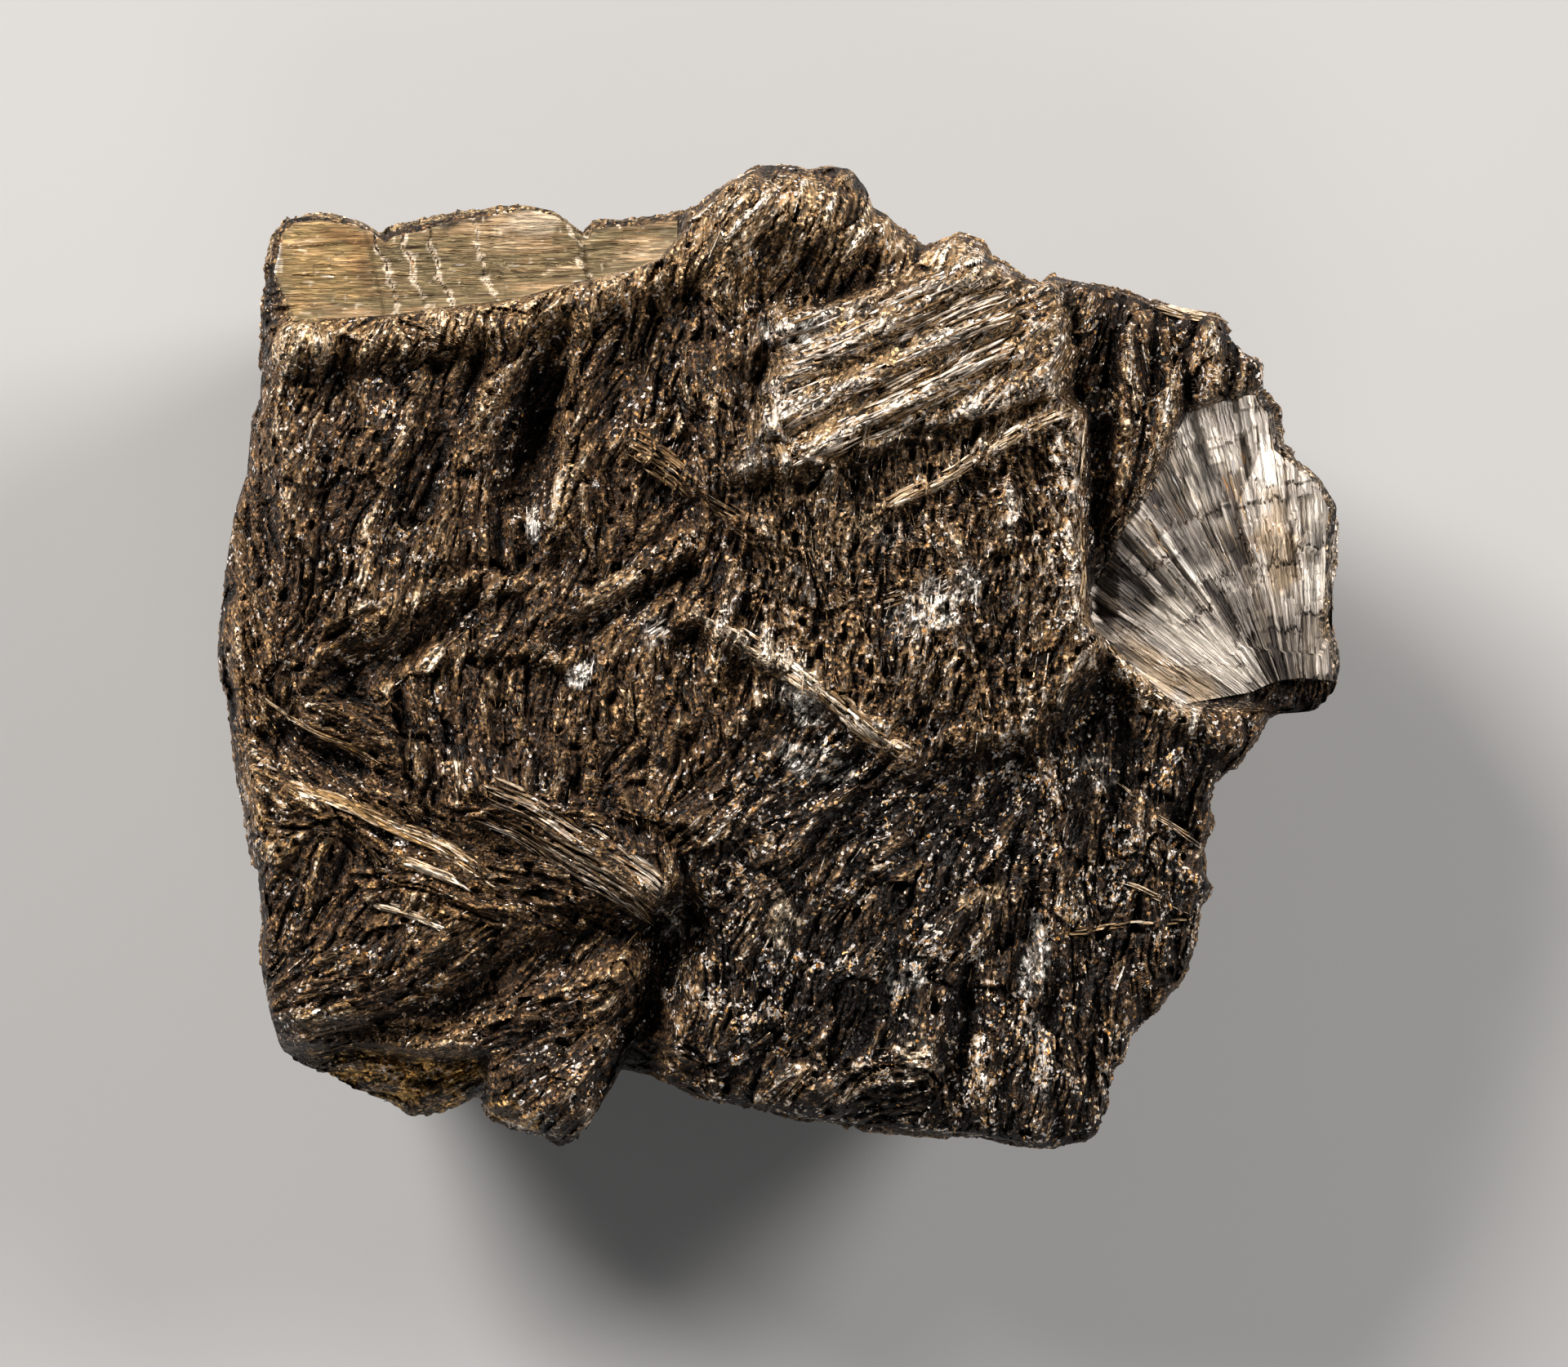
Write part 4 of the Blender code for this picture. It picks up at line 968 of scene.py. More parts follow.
class Signal:
    """A shader socket that can stand in a formula. Each operator adds its Math node."""

    def __init__(self, shader: "Shader", socket: bpy.types.NodeSocket) -> None:
        """Wraps a socket of a shader's node."""
        self.shader, self.socket = shader, socket

    def _math(self, operation: str, first: "Signal | float", second: "Signal | float") -> "Signal":
        """Adds a Math node."""
        return self.shader.signal("ShaderNodeMath", {"operation": operation}, {0: first, 1: second})

    def __add__(self, other: "Signal | float") -> "Signal":
        """self + other."""
        return self._math("ADD", self, other)

    def __sub__(self, other: "Signal | float") -> "Signal":
        """self - other."""
        return self._math("SUBTRACT", self, other)

    def __rsub__(self, other: float) -> "Signal":
        """other - self."""
        return self._math("SUBTRACT", other, self)

    def __mul__(self, other: "Signal | float") -> "Signal":
        """self * other."""
        return self._math("MULTIPLY", self, other)

    __radd__ = __add__
    __rmul__ = __mul__

    def __pow__(self, power: float) -> "Signal":
        """self to a power."""
        return self._math("POWER", self, power)

    def distance(self) -> "Signal":
        """Distance from 0."""
        return self._math("ABSOLUTE", self, 0.0)

    def clamped(self) -> "Signal":
        """Held from 0 to 1."""
        return self.shader.signal("ShaderNodeClamp", {}, {"Value": self})


class Shader:
    """A node material with one Principled BSDF."""

    def __init__(self, name: str) -> None:
        """Makes the material."""
        self.material = bpy.data.materials.new(name)
        self.material.use_nodes = True
        self.nodes = self.material.node_tree.nodes
        self.principled = self.nodes["Principled BSDF"]

    def node(self, kind: str, settings: dict, inputs: dict) -> bpy.types.Node:
        """Adds a node.

        Args:
            kind: the node's type.
            settings: its own settings; "stops" holds a ramp's places and tones.
            inputs: a value or a link for each socket, by name or number.
        """
        made = self.nodes.new(kind)
        for name, value in settings.items():
            if name == "stops":
                while len(made.color_ramp.elements) < len(value):
                    made.color_ramp.elements.new(0.5)
                for element, (place, tone) in zip(made.color_ramp.elements, value):
                    element.position, element.color = place, (*tone, 1.0)
            else:
                setattr(made, name, value)
        for name, value in inputs.items():
            self.feed(made.inputs[name], value)
        return made

    def feed(self, socket: bpy.types.NodeSocket, value: object) -> None:
        """Links a signal to a socket, or sets the socket's own value."""
        if isinstance(value, Signal):
            self.material.node_tree.links.new(value.socket, socket)
        else:
            socket.default_value = value

    def signal(self, kind: str, settings: dict, inputs: dict, output: str | int = 0) -> Signal:
        """Adds a node and gives one of its outputs."""
        return Signal(self, self.node(kind, settings, inputs).outputs[output])

    def surface(self, **inputs: object) -> bpy.types.Material:
        """Sets the Principled BSDF's sockets, an underscore for each space, and gives the material."""
        for name, value in inputs.items():
            self.feed(self.principled.inputs[name.replace("_", " ")], value)
        return self.material

    def tint(self) -> tuple[Signal, Signal]:
        """The piece's own colour and shine, from its tint attribute."""
        read = self.node("ShaderNodeAttribute", {"attribute_name": TINT}, {})
        return Signal(self, read.outputs["Color"]), Signal(self, read.outputs["Alpha"])

    def noise(self, space: str, vector: Signal, output: str | int = 0, **inputs: float) -> Signal:
        """Noise from 0 to 1 on a vector, in "2D" or "3D"."""
        settings = {"noise_dimensions": space}
        return self.signal("ShaderNodeTexNoise", settings, {"Vector": vector, **inputs}, output)

    def vector(self, operation: str, *inputs: object, output: str | int = 0) -> Signal:
        """Adds a Vector Math node."""
        settings = {"operation": operation}
        return self.signal("ShaderNodeVectorMath", settings, dict(enumerate(inputs)), output)

    def place(self) -> Signal:
        """Object coordinates."""
        return self.signal("ShaderNodeTexCoord", {}, {}, "Object")

    def fibres(self, wander: float) -> Signal:
        """Millimetres along and across the fibres, carried aside by a noise of about a millimetre."""
        own = self.signal("ShaderNodeUVMap", {"uv_map": GRAIN_MAP}, {})
        drift = self.noise("2D", own, "Color", Scale=1.1, Detail=1.0)
        return self.vector("MULTIPLY_ADD", drift, (wander, wander, 0.0), own)

    def stretched(self, vector: Signal, along: float, across: float) -> Signal:
        """A vector multiplied along and across the fibres."""
        return self.vector("MULTIPLY", vector, (along, across, 1.0))

    def net(self, vector: Signal, fineness: float) -> Signal:
        """1 on thin threads where a noise crosses its middle, falling to 0 beside them."""
        level = self.noise("2D", vector, Scale=1.0, Detail=2.0, Roughness=0.6)
        return (1.0 - (level - 0.5).distance() * fineness).clamped()

    def facets(self, vector: Signal, scale: float, space: str) -> tuple[Signal, Signal, Signal]:
        """Cleavage facets: cells about scattered points, each a flat that leans its own way.

        Args:
            vector: where to read them.
            scale: cells for each unit of the vector.
            space: "2D" or "3D".

        Returns:
            Two random values for each facet, and its height as it leans about its middle.
        """
        inputs = {"Vector": vector, "Scale": scale}
        cell = self.node("ShaderNodeTexVoronoi", {"voronoi_dimensions": space}, inputs)
        colour, middle = (Signal(self, cell.outputs[name]) for name in ("Color", "Position"))
        way = self.vector("SUBTRACT", colour, (0.5, 0.5, 0.5))
        lean = self.vector("DOT_PRODUCT", self.vector("SUBTRACT", vector, middle), way, output="Value")
        split = self.node("ShaderNodeSeparateColor", {}, {"Color": colour})
        return Signal(self, split.outputs[0]), Signal(self, split.outputs[1]), lean * scale

    def mixed(self, first: Signal, second: Signal, share: Signal) -> Signal:
        """A colour carried towards another."""
        return self.signal("ShaderNodeMix", {"data_type": "RGBA"}, {0: share, 6: first, 7: second}, 2)

    def shaded(self, colour: Signal, light: Signal) -> Signal:
        """A colour multiplied by a grey."""
        grey = self.signal("ShaderNodeCombineColor", {}, {0: light, 1: light, 2: light})
        settings = {"data_type": "RGBA", "blend_type": "MULTIPLY"}
        return self.signal("ShaderNodeMix", settings, {0: 1.0, 6: colour, 7: grey}, 2)

    def bump(self, height: Signal, distance: float) -> Signal:
        """A normal bent by a height in the given distance, in metres."""
        inputs = {"Strength": 1.0, "Distance": distance, "Height": height}
        return self.signal("ShaderNodeBump", {}, inputs, "Normal")


@dataclass(frozen=True)
class CrystalFinish:
    """Vitreous to pearly amphibole: a net of pale threads, and cleavage facets of unlike brightness, partly
    their own tone and partly painted reflection, some with a painted glint colour.

    Threads and laths are repeats per millimetre along and across the fibres. Grains are facets per metre,
    and stand in for the laths where those are None. The tint's alpha is the share of facets that glint.
    """

    name: str
    threads: Place = (0.5, 1.9)
    fineness: float = 9.0
    laths: Place | None = None
    grains: float = 3900.0
    wander: float = 0.55
    base_light: float = 0.06
    thread_light: float = 0.9
    facet_light: float = 4.6
    facet_power: float = 6.0
    most_glinting: float = 0.5
    rough: float = 0.5
    rough_glint: float = 0.3
    metal: float = 0.4
    specular: float = 0.13
    relief: float = 0.00018
    lean: float = 1.5
    refraction: float = 1.63

    def material(self) -> bpy.types.Material:
        """The tint is multiplied by base + thread + facet ** power, partly painted reflection, and the facets
        drawn by lot flash with a painted glint colour in Base Color.
        """
        shader = Shader(self.name)
        colour, share = shader.tint()
        fibres = shader.fibres(self.wander)
        thread = shader.net(shader.stretched(fibres, *self.threads), self.fineness)
        if self.laths is None:
            lot, hue, lean = shader.facets(shader.place(), self.grains, "3D")
        else:
            lot, hue, lean = shader.facets(shader.stretched(fibres, *self.laths), 1.0, "2D")
        # Painted light in Base Color: threads brighten where facets glint, and each facet's power of
        # brightness stands in partly for the reflection it catches.
        light = thread * (share * 2.0 + 1.0) * self.thread_light + self.base_light
        light = light + lot**self.facet_power * self.facet_light
        # Painted glint: glinting facets take a flash colour in Base Color, besides their real metal and
        # gloss.
        glint = ((lot - 1.0 + share * self.most_glinting) * 14.0).clamped()
        flash = shader.signal("ShaderNodeValToRGB", {"stops": FLASH_STOPS}, {"Fac": hue})
        return shader.surface(
            Base_Color=shader.mixed(shader.shaded(colour, light), flash, glint * 0.92),
            Roughness=self.rough - glint * (self.rough - self.rough_glint) - thread * 0.1,
            Metallic=glint * self.metal,
            IOR=self.refraction,
            Specular_IOR_Level=self.specular,
            Normal=shader.bump(thread + lot * 0.4 + lean * self.lean, self.relief),
        )


# Painted glint colours of the flashing facets, gold to white.
FLASH_STOPS = (
    (0.0, (0.46, 0.20, 0.04)), (0.22, (0.62, 0.40, 0.19)), (0.5, (0.84, 0.70, 0.56)),
    (0.75, (0.96, 0.91, 0.87)), (1.0, (0.64, 0.58, 0.55)))


@dataclass(frozen=True)
class FloorFinish:
    """Matt pale studio paper."""

    tone: Tone = (0.345, 0.342, 0.336)

    def material(self) -> bpy.types.Material:
        """A faint cloudiness on a pale ground."""
        shader = Shader("studio_paper")
        cloud = shader.noise("3D", shader.place(), Scale=9.0, Detail=3.0, Roughness=0.6)
        ground = shader.signal("ShaderNodeRGB", {}, {})
        ground.socket.default_value = (*self.tone, 1.0)
        return shader.surface(Base_Color=shader.shaded(ground, 0.97 + cloud * 0.06), Roughness=0.85)


# ---- colour zones


@dataclass(frozen=True)
class Zone:
    """A region with its own row of tones, dark to pale, and its own share of glinting facets."""

    region: Facet
    tones: tuple[Tone, ...]
    glint: float


def region(outline: list[Place], edge: float) -> Facet:
    """A facet used for its outline alone."""
    return Facet(outline, (0.0, 0.0), 0.0, 0.0, 0.0, edge)


BROWN_TONES = (GAP_SHADE, SOOT, UMBER, UMBER, BRONZE, FAWN, CREAM)
BROWN_GLINT = 0.55
MOST_PALE = 0.9
STAINED_TONES = (SOOT, UMBER, BRONZE, BRONZE, OCHRE, FAWN, TAN)

CROWN = region(
    [(-8, 44), (-7, 31), (-3, 28), (6, 30), (12, 32), (24, 31), (24, 36), (8, 44)], 4)
LIP = region(
    [(-43, 29), (-32, 29.5), (-20, 31.5), (-8, 35.5), (-6, 31), (-12, 27), (-24, 25), (-42, 25)], 2.5)
LEFT_EDGE = region(
    [(-49, 22), (-43.5, 24), (-42.5, 8), (-43.5, -6), (-44, -14), (-49, -14)], 4)

LOBE = region([(-26, -32), (-14, -33), (-13, -44), (-26, -44)], 2.5)
BAND_SURROUNDINGS = region(BAND.outline, 7)
BLOCK = region([(39.5, -2.4), (44.5, -1.6), (49.5, -2.4), (49.5, -6), (41, -7)], 1.2)

ZONES = (
    Zone(PLATEAU, (GAP_SHADE, SOOT, UMBER, BRONZE, FAWN, SILVER, CREAM), 0.5),
    # The lower right's black ground: partly its own colour and partly painted shade of a face that slopes
    # down.
    Zone(LOWER_RIGHT, (GAP_SHADE, GAP_SHADE, GAP_SHADE, SOOT, UMBER, FAWN, WHITE), 1.1),
    Zone(BAND_SURROUNDINGS, (SOOT, BRONZE, FAWN, FAWN, SILVER, CREAM, WHITE), 0.6),
    Zone(RECESS, (GAP_SHADE, SOOT, SOOT, UMBER, BRONZE, TAN, WHITE), 0.8),
    Zone(LOWER_LEFT, (GAP_SHADE, SOOT, UMBER, UMBER, BRONZE, OCHRE, CREAM), 0.7),
    Zone(STRIPED_FOOT, (SOOT, UMBER, GOLD, BRONZE, SLATE, BRONZE, FAWN), 0.2),
    Zone(CROWN, (SOOT, UMBER, BRONZE, FAWN, FAWN, CREAM, WHITE), 0.8),
    Zone(LIP, (GAP_SHADE, UMBER, BRONZE, BRONZE, FAWN, TAN, CREAM), 0.6),
    Zone(LEFT_EDGE, (GAP_SHADE, UMBER, UMBER, BRONZE, BRONZE, FAWN, CREAM), 0.7),
    # The lobe's dark tones: partly its own colour and partly painted shade of the lowest, down-turned part.
    Zone(LOBE, (GAP_SHADE, GAP_SHADE, SOOT, SOOT, UMBER, BRONZE, TAN), 0.7),
    Zone(FAN, (SOOT, SLATE, SAGE, FAWN, SILVER, CREAM, WHITE), 0.3),
    Zone(BLOCK, (GAP_SHADE, SOOT, UMBER, UMBER, BRONZE, FAWN, TAN), 0.3),
    Zone(SLAB, (SOOT, UMBER, BRONZE, OLIVE, FAWN, TAN, CREAM), 0.3),
)


@dataclass(frozen=True)
class Patch:
    """A soft patch paler or darker than its zone: centre, radii, turn in degrees, tone, strength."""

    centre: Place
    radii: Place
    turn: float
    tone: Tone
    strength: float

    def weight(self, x: Array, y: Array) -> Array:
        """Its strength at its centre, falling to 0 past its radii along a ragged edge."""
        along, across = turned(x - self.centre[0], y - self.centre[1], math.radians(self.turn))
        ragged = 0.45 * flat_noise(x / 1.4, y / 1.4, 19)
        far = np.hypot(along / self.radii[0], across / self.radii[1]) + ragged
        return self.strength * (1.0 - step(far, 0.55, 0.6))


# Patches of the display face: real stains and tone, with painted light among them. The near-black ones are
# painted shade in pits, pockets, grooves, the notch and along the band's lower edge; several pale ones in the
# lower right are painted glints of flake clusters.
STAINS_AND_PAINTED_LIGHT = tuple(Patch(*row) for row in (
    ((-1.2, 0.2), (3.4, 1.6), -38, CREAM, 0.7), ((1.2, -3.4), (3, 1.5), -38, WHITE, 1.4),
    ((13.5, 4.6), (5, 1.7), 32, WHITE, 0.9), ((9.6, 10), (2.2, 1.2), 30, SILVER, 0.5),
    ((-16.5, -1.3), (1.2, 0.9), 50, WHITE, 2), ((-10, 2), (1.4, 1.2), 45, SILVER, 0.8),
    ((-20.5, 11.2), (0.55, 1.6), 0, WHITE, 3), ((-32.4, 4.6), (2.4, 2.2), 60, FAWN, 0.7),
    ((-9.4, -21.5), (2.6, 1.2), -60, SILVER, 0.5), ((0.4, -22.3), (1.2, 2.2), 0, CREAM, 0.8),
    ((10.9, -27.2), (2, 1.6), 20, WHITE, 0.7), ((11.6, -34.1), (1.6, 2.4), 0, CREAM, 0.7),
    ((21.4, -25.8), (1.1, 3.6), -8, WHITE, 0.7), ((17.2, -20.2), (2, 1.2), 20, TAN, 0.7),
    ((24.9, -20.9), (1.2, 1.2), 0, CREAM, 0.6), ((3.2, -9), (3.4, 1.4), -20, WHITE, 0.5),
    ((21.8, -34.5), (0.8, 3.5), 0, SILVER, 0.7), ((26.5, -9.5), (1.2, 2.2), 60, SILVER, 0.5),
    ((4.6, -36.5), (2.4, 1), 0, SILVER, 0.5), ((-27, -18.8), (5, 3.5), 60, BRONZE, 0.45),
    ((1.9, 27.7), (3.2, 1.4), 10, WHITE, 0.9), ((15, 28.4), (4, 0.8), 27, CREAM, 0.6),
    ((10, 17.8), (6, 0.8), 27, GAP_SHADE, 0.5), ((-2, 17), (4, 1), 30, GAP_SHADE, 0.6),
    ((-4.2, 23), (1.2, 4), 95, GAP_SHADE, 0.45), ((15.4, -31), (1.3, 2.2), 10, GAP_SHADE, 0.7),
    ((6, -28.5), (1.6, 2.6), 0, GAP_SHADE, 0.6), ((26.5, -28), (1.4, 3), 0, GAP_SHADE, 0.5),
    ((14.2, -16.5), (1.8, 1.2), 40, GAP_SHADE, 0.6), ((-4.5, -17), (1.6, 2.6), -30, GAP_SHADE, 0.5),
    ((44.4, -3.9), (4, 1.4), -8, SOOT, 0.6), ((-41.3, -6.4), (2.6, 1.1), -28, GAP_SHADE, 0.8),
    ((-36.6, -8.7), (2.4, 0.9), -28, GAP_SHADE, 0.6), ((-28.2, -25.1), (1.8, 0.9), 20, GAP_SHADE, 0.8),
    ((-32.5, -35.4), (7.5, 1.2), 1, AMBER, 1.3), ((-39.5, -35), (3.6, 1.1), 0, SLATE, 0.8),
    ((-22.1, -39.2), (3, 1.6), -20, AMBER, 0.7), ((19.5, 4), (5, 2.6), 30, SOOT, 0.6),
    ((12, -2.5), (5, 2), -35, SOOT, 0.45), ((1.5, 6.5), (3.2, 2), 20, SOOT, 0.5),
    ((16.5, 8.8), (4, 1.2), 28, SOOT, 0.5), ((5, 10.6), (5.5, 1.6), 22, TAN, 0.5),
    ((-29.5, -38), (5, 1.3), -12, AMBER, 0.7), ((-40.5, -33), (3, 0.8), -10, SLATE, 0.7),
    ((-21.5, -41), (2.2, 0.9), -25, WHITE, 1), ((-16, -39.5), (1.2, 1.8), 20, CREAM, 0.4),
    ((20.8, -16.5), (0.9, 0.6), 0, GAP_SHADE, 1), ((28.3, -24.5), (1.2, 0.7), 0, GAP_SHADE, 1),
    ((12.8, -37.6), (0.9, 0.6), 0, GAP_SHADE, 1), ((-28.7, 24.7), (0.8, 0.8), 0, GAP_SHADE, 1),
    ((-26.6, -8), (0.8, 0.8), 0, GAP_SHADE, 1), ((-9.7, -8.9), (0.8, 0.6), 0, GAP_SHADE, 1),
    ((-12.2, -34.5), (1.8, 2.2), 0, GAP_SHADE, 0.9),
))


def zone_tones(x: Array, y: Array, share: Array) -> tuple[Array, Array]:
    """Colour and strength of glint on the display face, for a share of each zone's row of tones."""
    colour = ramp(share, BROWN_TONES)
    glint = np.full(np.shape(x), BROWN_GLINT)
    for zone in ZONES:
        weight = zone.region.inside(x, y)
        colour = blend(colour, ramp(share, zone.tones), weight[..., None])
        glint = blend(glint, zone.glint, weight)
    flakes = 0.12 + 0.88 * step(flat_noise(x / 0.55, y / 0.55, 44), -0.05, 0.35)
    # Pale patches are flaked and glint more; near-black ones are painted shade.
    for patch in STAINS_AND_PAINTED_LIGHT:
        pale = patch.tone[0] > 0.2
        weight = np.minimum(patch.weight(x, y) * (flakes if pale else 1.0), 1.0)
        colour = blend(colour, patch.tone, weight[..., None])
        glint = blend(glint, 1.6 * pale, weight)
    return colour, glint


def stained(
    colour: Array, stains: tuple[Patch, ...], x: Array, y: Array, light: Array, cover: Array | float
) -> Array:
    """Lays patches over a colour in turn, each shaded by one light and held to one cover."""
    for patch in stains:
        shaded = np.array(patch.tone) * light[..., None]
        colour = blend(colour, shaded, (patch.weight(x, y) * cover)[..., None])
    return colour


def flocked(points: Array, strength: Array) -> Array:
    """How many of the facets at each place glint, from 0 to 1: a broad noise and a fine one, multiplied."""
    x, y, z = np.moveaxis(points, -1, 0)
    broad = 0.5 + 0.5 * noise(x / 3.2, y / 3.2, z / 3.2, 45)
    fine = smooth(0.35 + 1.3 * noise(x / 0.9, y / 0.9, z / 0.9, 46))
    return np.clip(strength * (0.06 + 2.2 * broad**2 * fine), 0.0, 1.0)


# ---- pieces


@dataclass
class Piece:
    """A piece of the specimen: it rides the root body and takes the record's one finish."""

    form: SpecimenForm

    def dress(self, made: Object) -> Object:
        """Gives a finished object its material and body, and reports it."""
        made.data.materials.append(self.finish.material())
        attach(made, BODY)
        log.info("%s: %d faces", made.name, len(made.data.polygons))
        return made


@dataclass
class DisplayFace(Piece):
    """The display face, as four sheets that share their borders."""

    columns: int = 520
    rows: int = 460
    facet_jitter: float = 0.03
    climb: Place = (1.0, 0.4)  # what a millimetre of height adds along and across the fibres
    finish: CrystalFinish = CrystalFinish("lamellae")

    def cube(self) -> Array:
        """Points of the cube's upper face, on a grid."""
        a, b = np.meshgrid(
            np.linspace(-1.0, 1.0, self.columns + 1), np.linspace(-1.0, 1.0, self.rows + 1), indexing="ij")
        return np.stack([a, b, np.ones_like(a)], -1)

    def tints(self, points: Array, fabric: Fabric) -> Array:
        """Crests paler, partly painted highlight, and hollows darker as painted shade; brows painted paler
        and folds painted darker at two scales, and steep slopes painted darker as painted shade.
        """
        fabric = fabric.shaped(points.shape[:2])
        x, y, z = np.moveaxis(points, -1, 0)
        # Painted highlight on brows above their surroundings and painted shade in folds below them, at two
        # reaches.
        brow_highlight = np.clip((z - blurred(z, 5)) / 0.5, -1.0, 1.0)
        fold = np.clip((z - blurred(z, 18)) / 1.6, -1.0, 1.0)
        cloud = flat_noise(x / 7.0, y / 7.0, 42)
        out = unit(np.cross(np.gradient(points, axis=0), np.gradient(points, axis=1)))
        # Painted shade: steep slopes darker.
        steep = smooth((0.75 - out[..., 2]) / 0.6)
        # Crests paler, partly painted highlight, and hollows darker as painted shade.
        share = fabric.share(base=0.44, crest=0.12, hollow=0.17, streak=0.12, own=0.10)
        share = np.clip(share + 0.15 * brow_highlight + 0.17 * fold + 0.12 * cloud - 0.10 * steep, 0.0, 1.0)
        colour, glint = zone_tones(x, y, share)
        return tinted(colour, flocked(points, glint * (1.0 - 0.6 * fabric.hollow)))

    def build(self) -> list[Object]:
        """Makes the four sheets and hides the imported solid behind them."""
        form, sheaves = self.form, FaceSheaves(self.form)
        cube = self.cube().reshape(-1, 3)
        rng = np.random.default_rng(200)
        points = form.surface(cube, sheaves.rise)
        fabric, number = sheaves.fabric(points[:, 0], points[:, 1])
        grid = (self.columns + 1, self.rows + 1)
        inner = np.pad(np.ones((self.columns - 1, self.rows - 1)), 1).ravel()
        points[:, 2] += self.facet_jitter * rng.uniform(-1.0, 1.0, len(points)) * inner
        points, number = points.reshape(*grid, 3), number.reshape(grid)
        for edge in (points[0], points[-1], points[:, 0], points[:, -1]):
            edge[1::2] = (edge[:-1:2] + edge[2::2]) / 2.0
        tints = self.tints(points, fabric)
        corner = Sheet.corners(points)
        own = np.repeat(number[:-1, :-1, None], 4, axis=2)
        grain = np.stack(sheaves.framed(corner[..., 0], corner[..., 1], own), axis=-1)
        grain = grain + (own % 97)[..., None] * 3.1 + corner[..., 2:] * np.array(self.climb)
        made = []
        half_x, half_y = self.columns // 2, self.rows // 2
        for name, i, j in (("sw", 0, 0), ("se", half_x, 0), ("nw", 0, half_y), ("ne", half_x, half_y)):
            across, along = slice(i, i + half_x + 1), slice(j, j + half_y + 1)
            quads = grain[i:i + half_x, j:j + half_y]
            sheet = Sheet(points[across, along], tints[across, along], quads)
            made.append(self.dress(sheet.build(f"display_face_{name}", form)))
        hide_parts(NODE)
        return made


@dataclass
class Walls(Piece):
    """The broken walls, a sheet for each side, and the flat foot under them."""

    columns: int = 260
    rows: int = 230
    rings: int = 78
    bevel_rings: int = 16
    bevel_reach: float = 0.42
    foot_rings: int = 6
    facet_jitter: float = 0.04
    fade: float = 0.05
    foot_fade: float = 1.5
    finish: CrystalFinish = CrystalFinish("broken_walls")

    def border(self) -> Array:
        """The cube's upper edge once round, anticlockwise from above."""
        a, b = np.arange(self.columns), np.arange(self.rows)
        i = np.concatenate([a, np.full(self.rows, self.columns), self.columns - a, np.zeros(self.rows)])
        j = np.concatenate([np.zeros(self.columns), b, np.full(self.columns, self.rows), self.rows - b])
        return np.column_stack([2.0 * i / self.columns - 1.0, 2.0 * j / self.rows - 1.0])

    def down(self) -> Array:
        """Depth of each ring: 0 at the rim, 1 at the foot of the wall, and past 1 in under the bevel."""
        wall = np.linspace(0.0, 1.0, self.rings + 1)
        bevel = np.linspace(1.0, 1.0 + self.bevel_reach, self.bevel_rings + 1)
        return np.concatenate([wall, bevel[1:]])

    def places(self, down: Array, rise: Callable[[Array, Array], Array] | None) -> Array:
        """The eased wall and bevel, ring by ring."""
        border = self.border()
        reach, height = 1.0 - np.clip(down - 1.0, 0.0, 1.0), 1.0 - 2.0 * np.clip(down, 0.0, 1.0)
        cube = [np.column_stack([border * r, np.full(len(border), h)]) for r, h in zip(reach, height)]
        return self.form.surface(np.concatenate(cube), rise).reshape(len(down), len(border), 3)

    def tints(self, points: Array, fabric: Fabric, down: Array) -> Array:
        """Brown fibres with rusty stains, crests painted paler and hollows painted darker, in the display
        face's tones towards the rim.
        """
        x, y, z = np.moveaxis(points, -1, 0)
        fabric = fabric.shaped(points.shape[:2])
        # Crests paler, partly painted highlight, and hollows darker as painted shade.
        share = fabric.share(base=0.46, crest=0.20, hollow=0.36, streak=0.14, own=0.16)
        share = np.clip(share + 0.06 * noise(x / 7.0, y / 7.0, z / 7.0, 73), 0.0, 1.0)
        rusty = step(noise(x / 11.0, y / 11.0, z / 11.0, 72), 0.05, 0.4)[..., None]
        colour = blend(ramp(share, BROWN_TONES), ramp(share, STAINED_TONES), rusty)
        above, glint = zone_tones(x, y, share)
        lower = smooth(down / 0.22)
        return tinted(blend(above, colour, lower[..., None]), flocked(points, blend(glint, 0.45, lower)))

    def build(self) -> list[Object]:
        """Makes the four walls and the foot."""
        form = self.form
        down = self.down()[:, None]
        eased = self.places(down[:, 0], FaceSheaves(form).rise)
        around = np.roll(eased, -1, axis=1) - np.roll(eased, 1, axis=1)
        outward = unit(np.cross(np.gradient(eased, axis=0), around))
        fabric = WallSheaves().fabric(eased.reshape(-1, 3))
        rng = np.random.default_rng(210)
        rise = fabric.rise.reshape(outward.shape[:2])
        rise = rise + self.facet_jitter * rng.uniform(-1.0, 1.0, rise.shape)
        rise = rise * smooth(down / self.fade) * smooth(eased[..., 2] / self.foot_fade)
        points = eased + outward * rise[..., None]
        tints = self.tints(points, fabric, np.broadcast_to(down, rise.shape))
        grain = np.stack([fabric.along.reshape(rise.shape), fabric.across.reshape(rise.shape)], -1)
        points, tints, grain = (np.concatenate([v, v[:, :1]], axis=1) for v in (points, tints, grain))
        corners = Sheet.corners(grain)
        corners = corners[:, :, :1] + np.clip(corners - corners[:, :, :1], -1.0, 1.0)
        made, start = [], 0
        for name, count in (
                ("front", self.columns), ("right", self.rows), ("back", self.columns), ("left", self.rows)):
            part = slice(start, start + count + 1)
            sheet = Sheet(points[:, part], tints[:, part], corners[:, start:start + count])
            made.append(self.dress(sheet.build(f"wall_{name}", form)))
            start += count
        made.append(self.foot(tints[-1]))
        return made

    def foot(self, tints: Array) -> Object:
        """The flat foot: rings that close in from the bevel to the middle."""
        down = np.linspace(1.0 + self.bevel_reach, 2.0, self.foot_rings + 1)
        points = self.places(down, None)
        points = np.concatenate([points, points[:, :1]], axis=1)
        tints = np.broadcast_to(tints, (len(down), *tints.shape))
        sheet = Sheet(points, tints, Sheet.corners(points[..., :2]))
        return self.dress(sheet.build("foot", self.form))


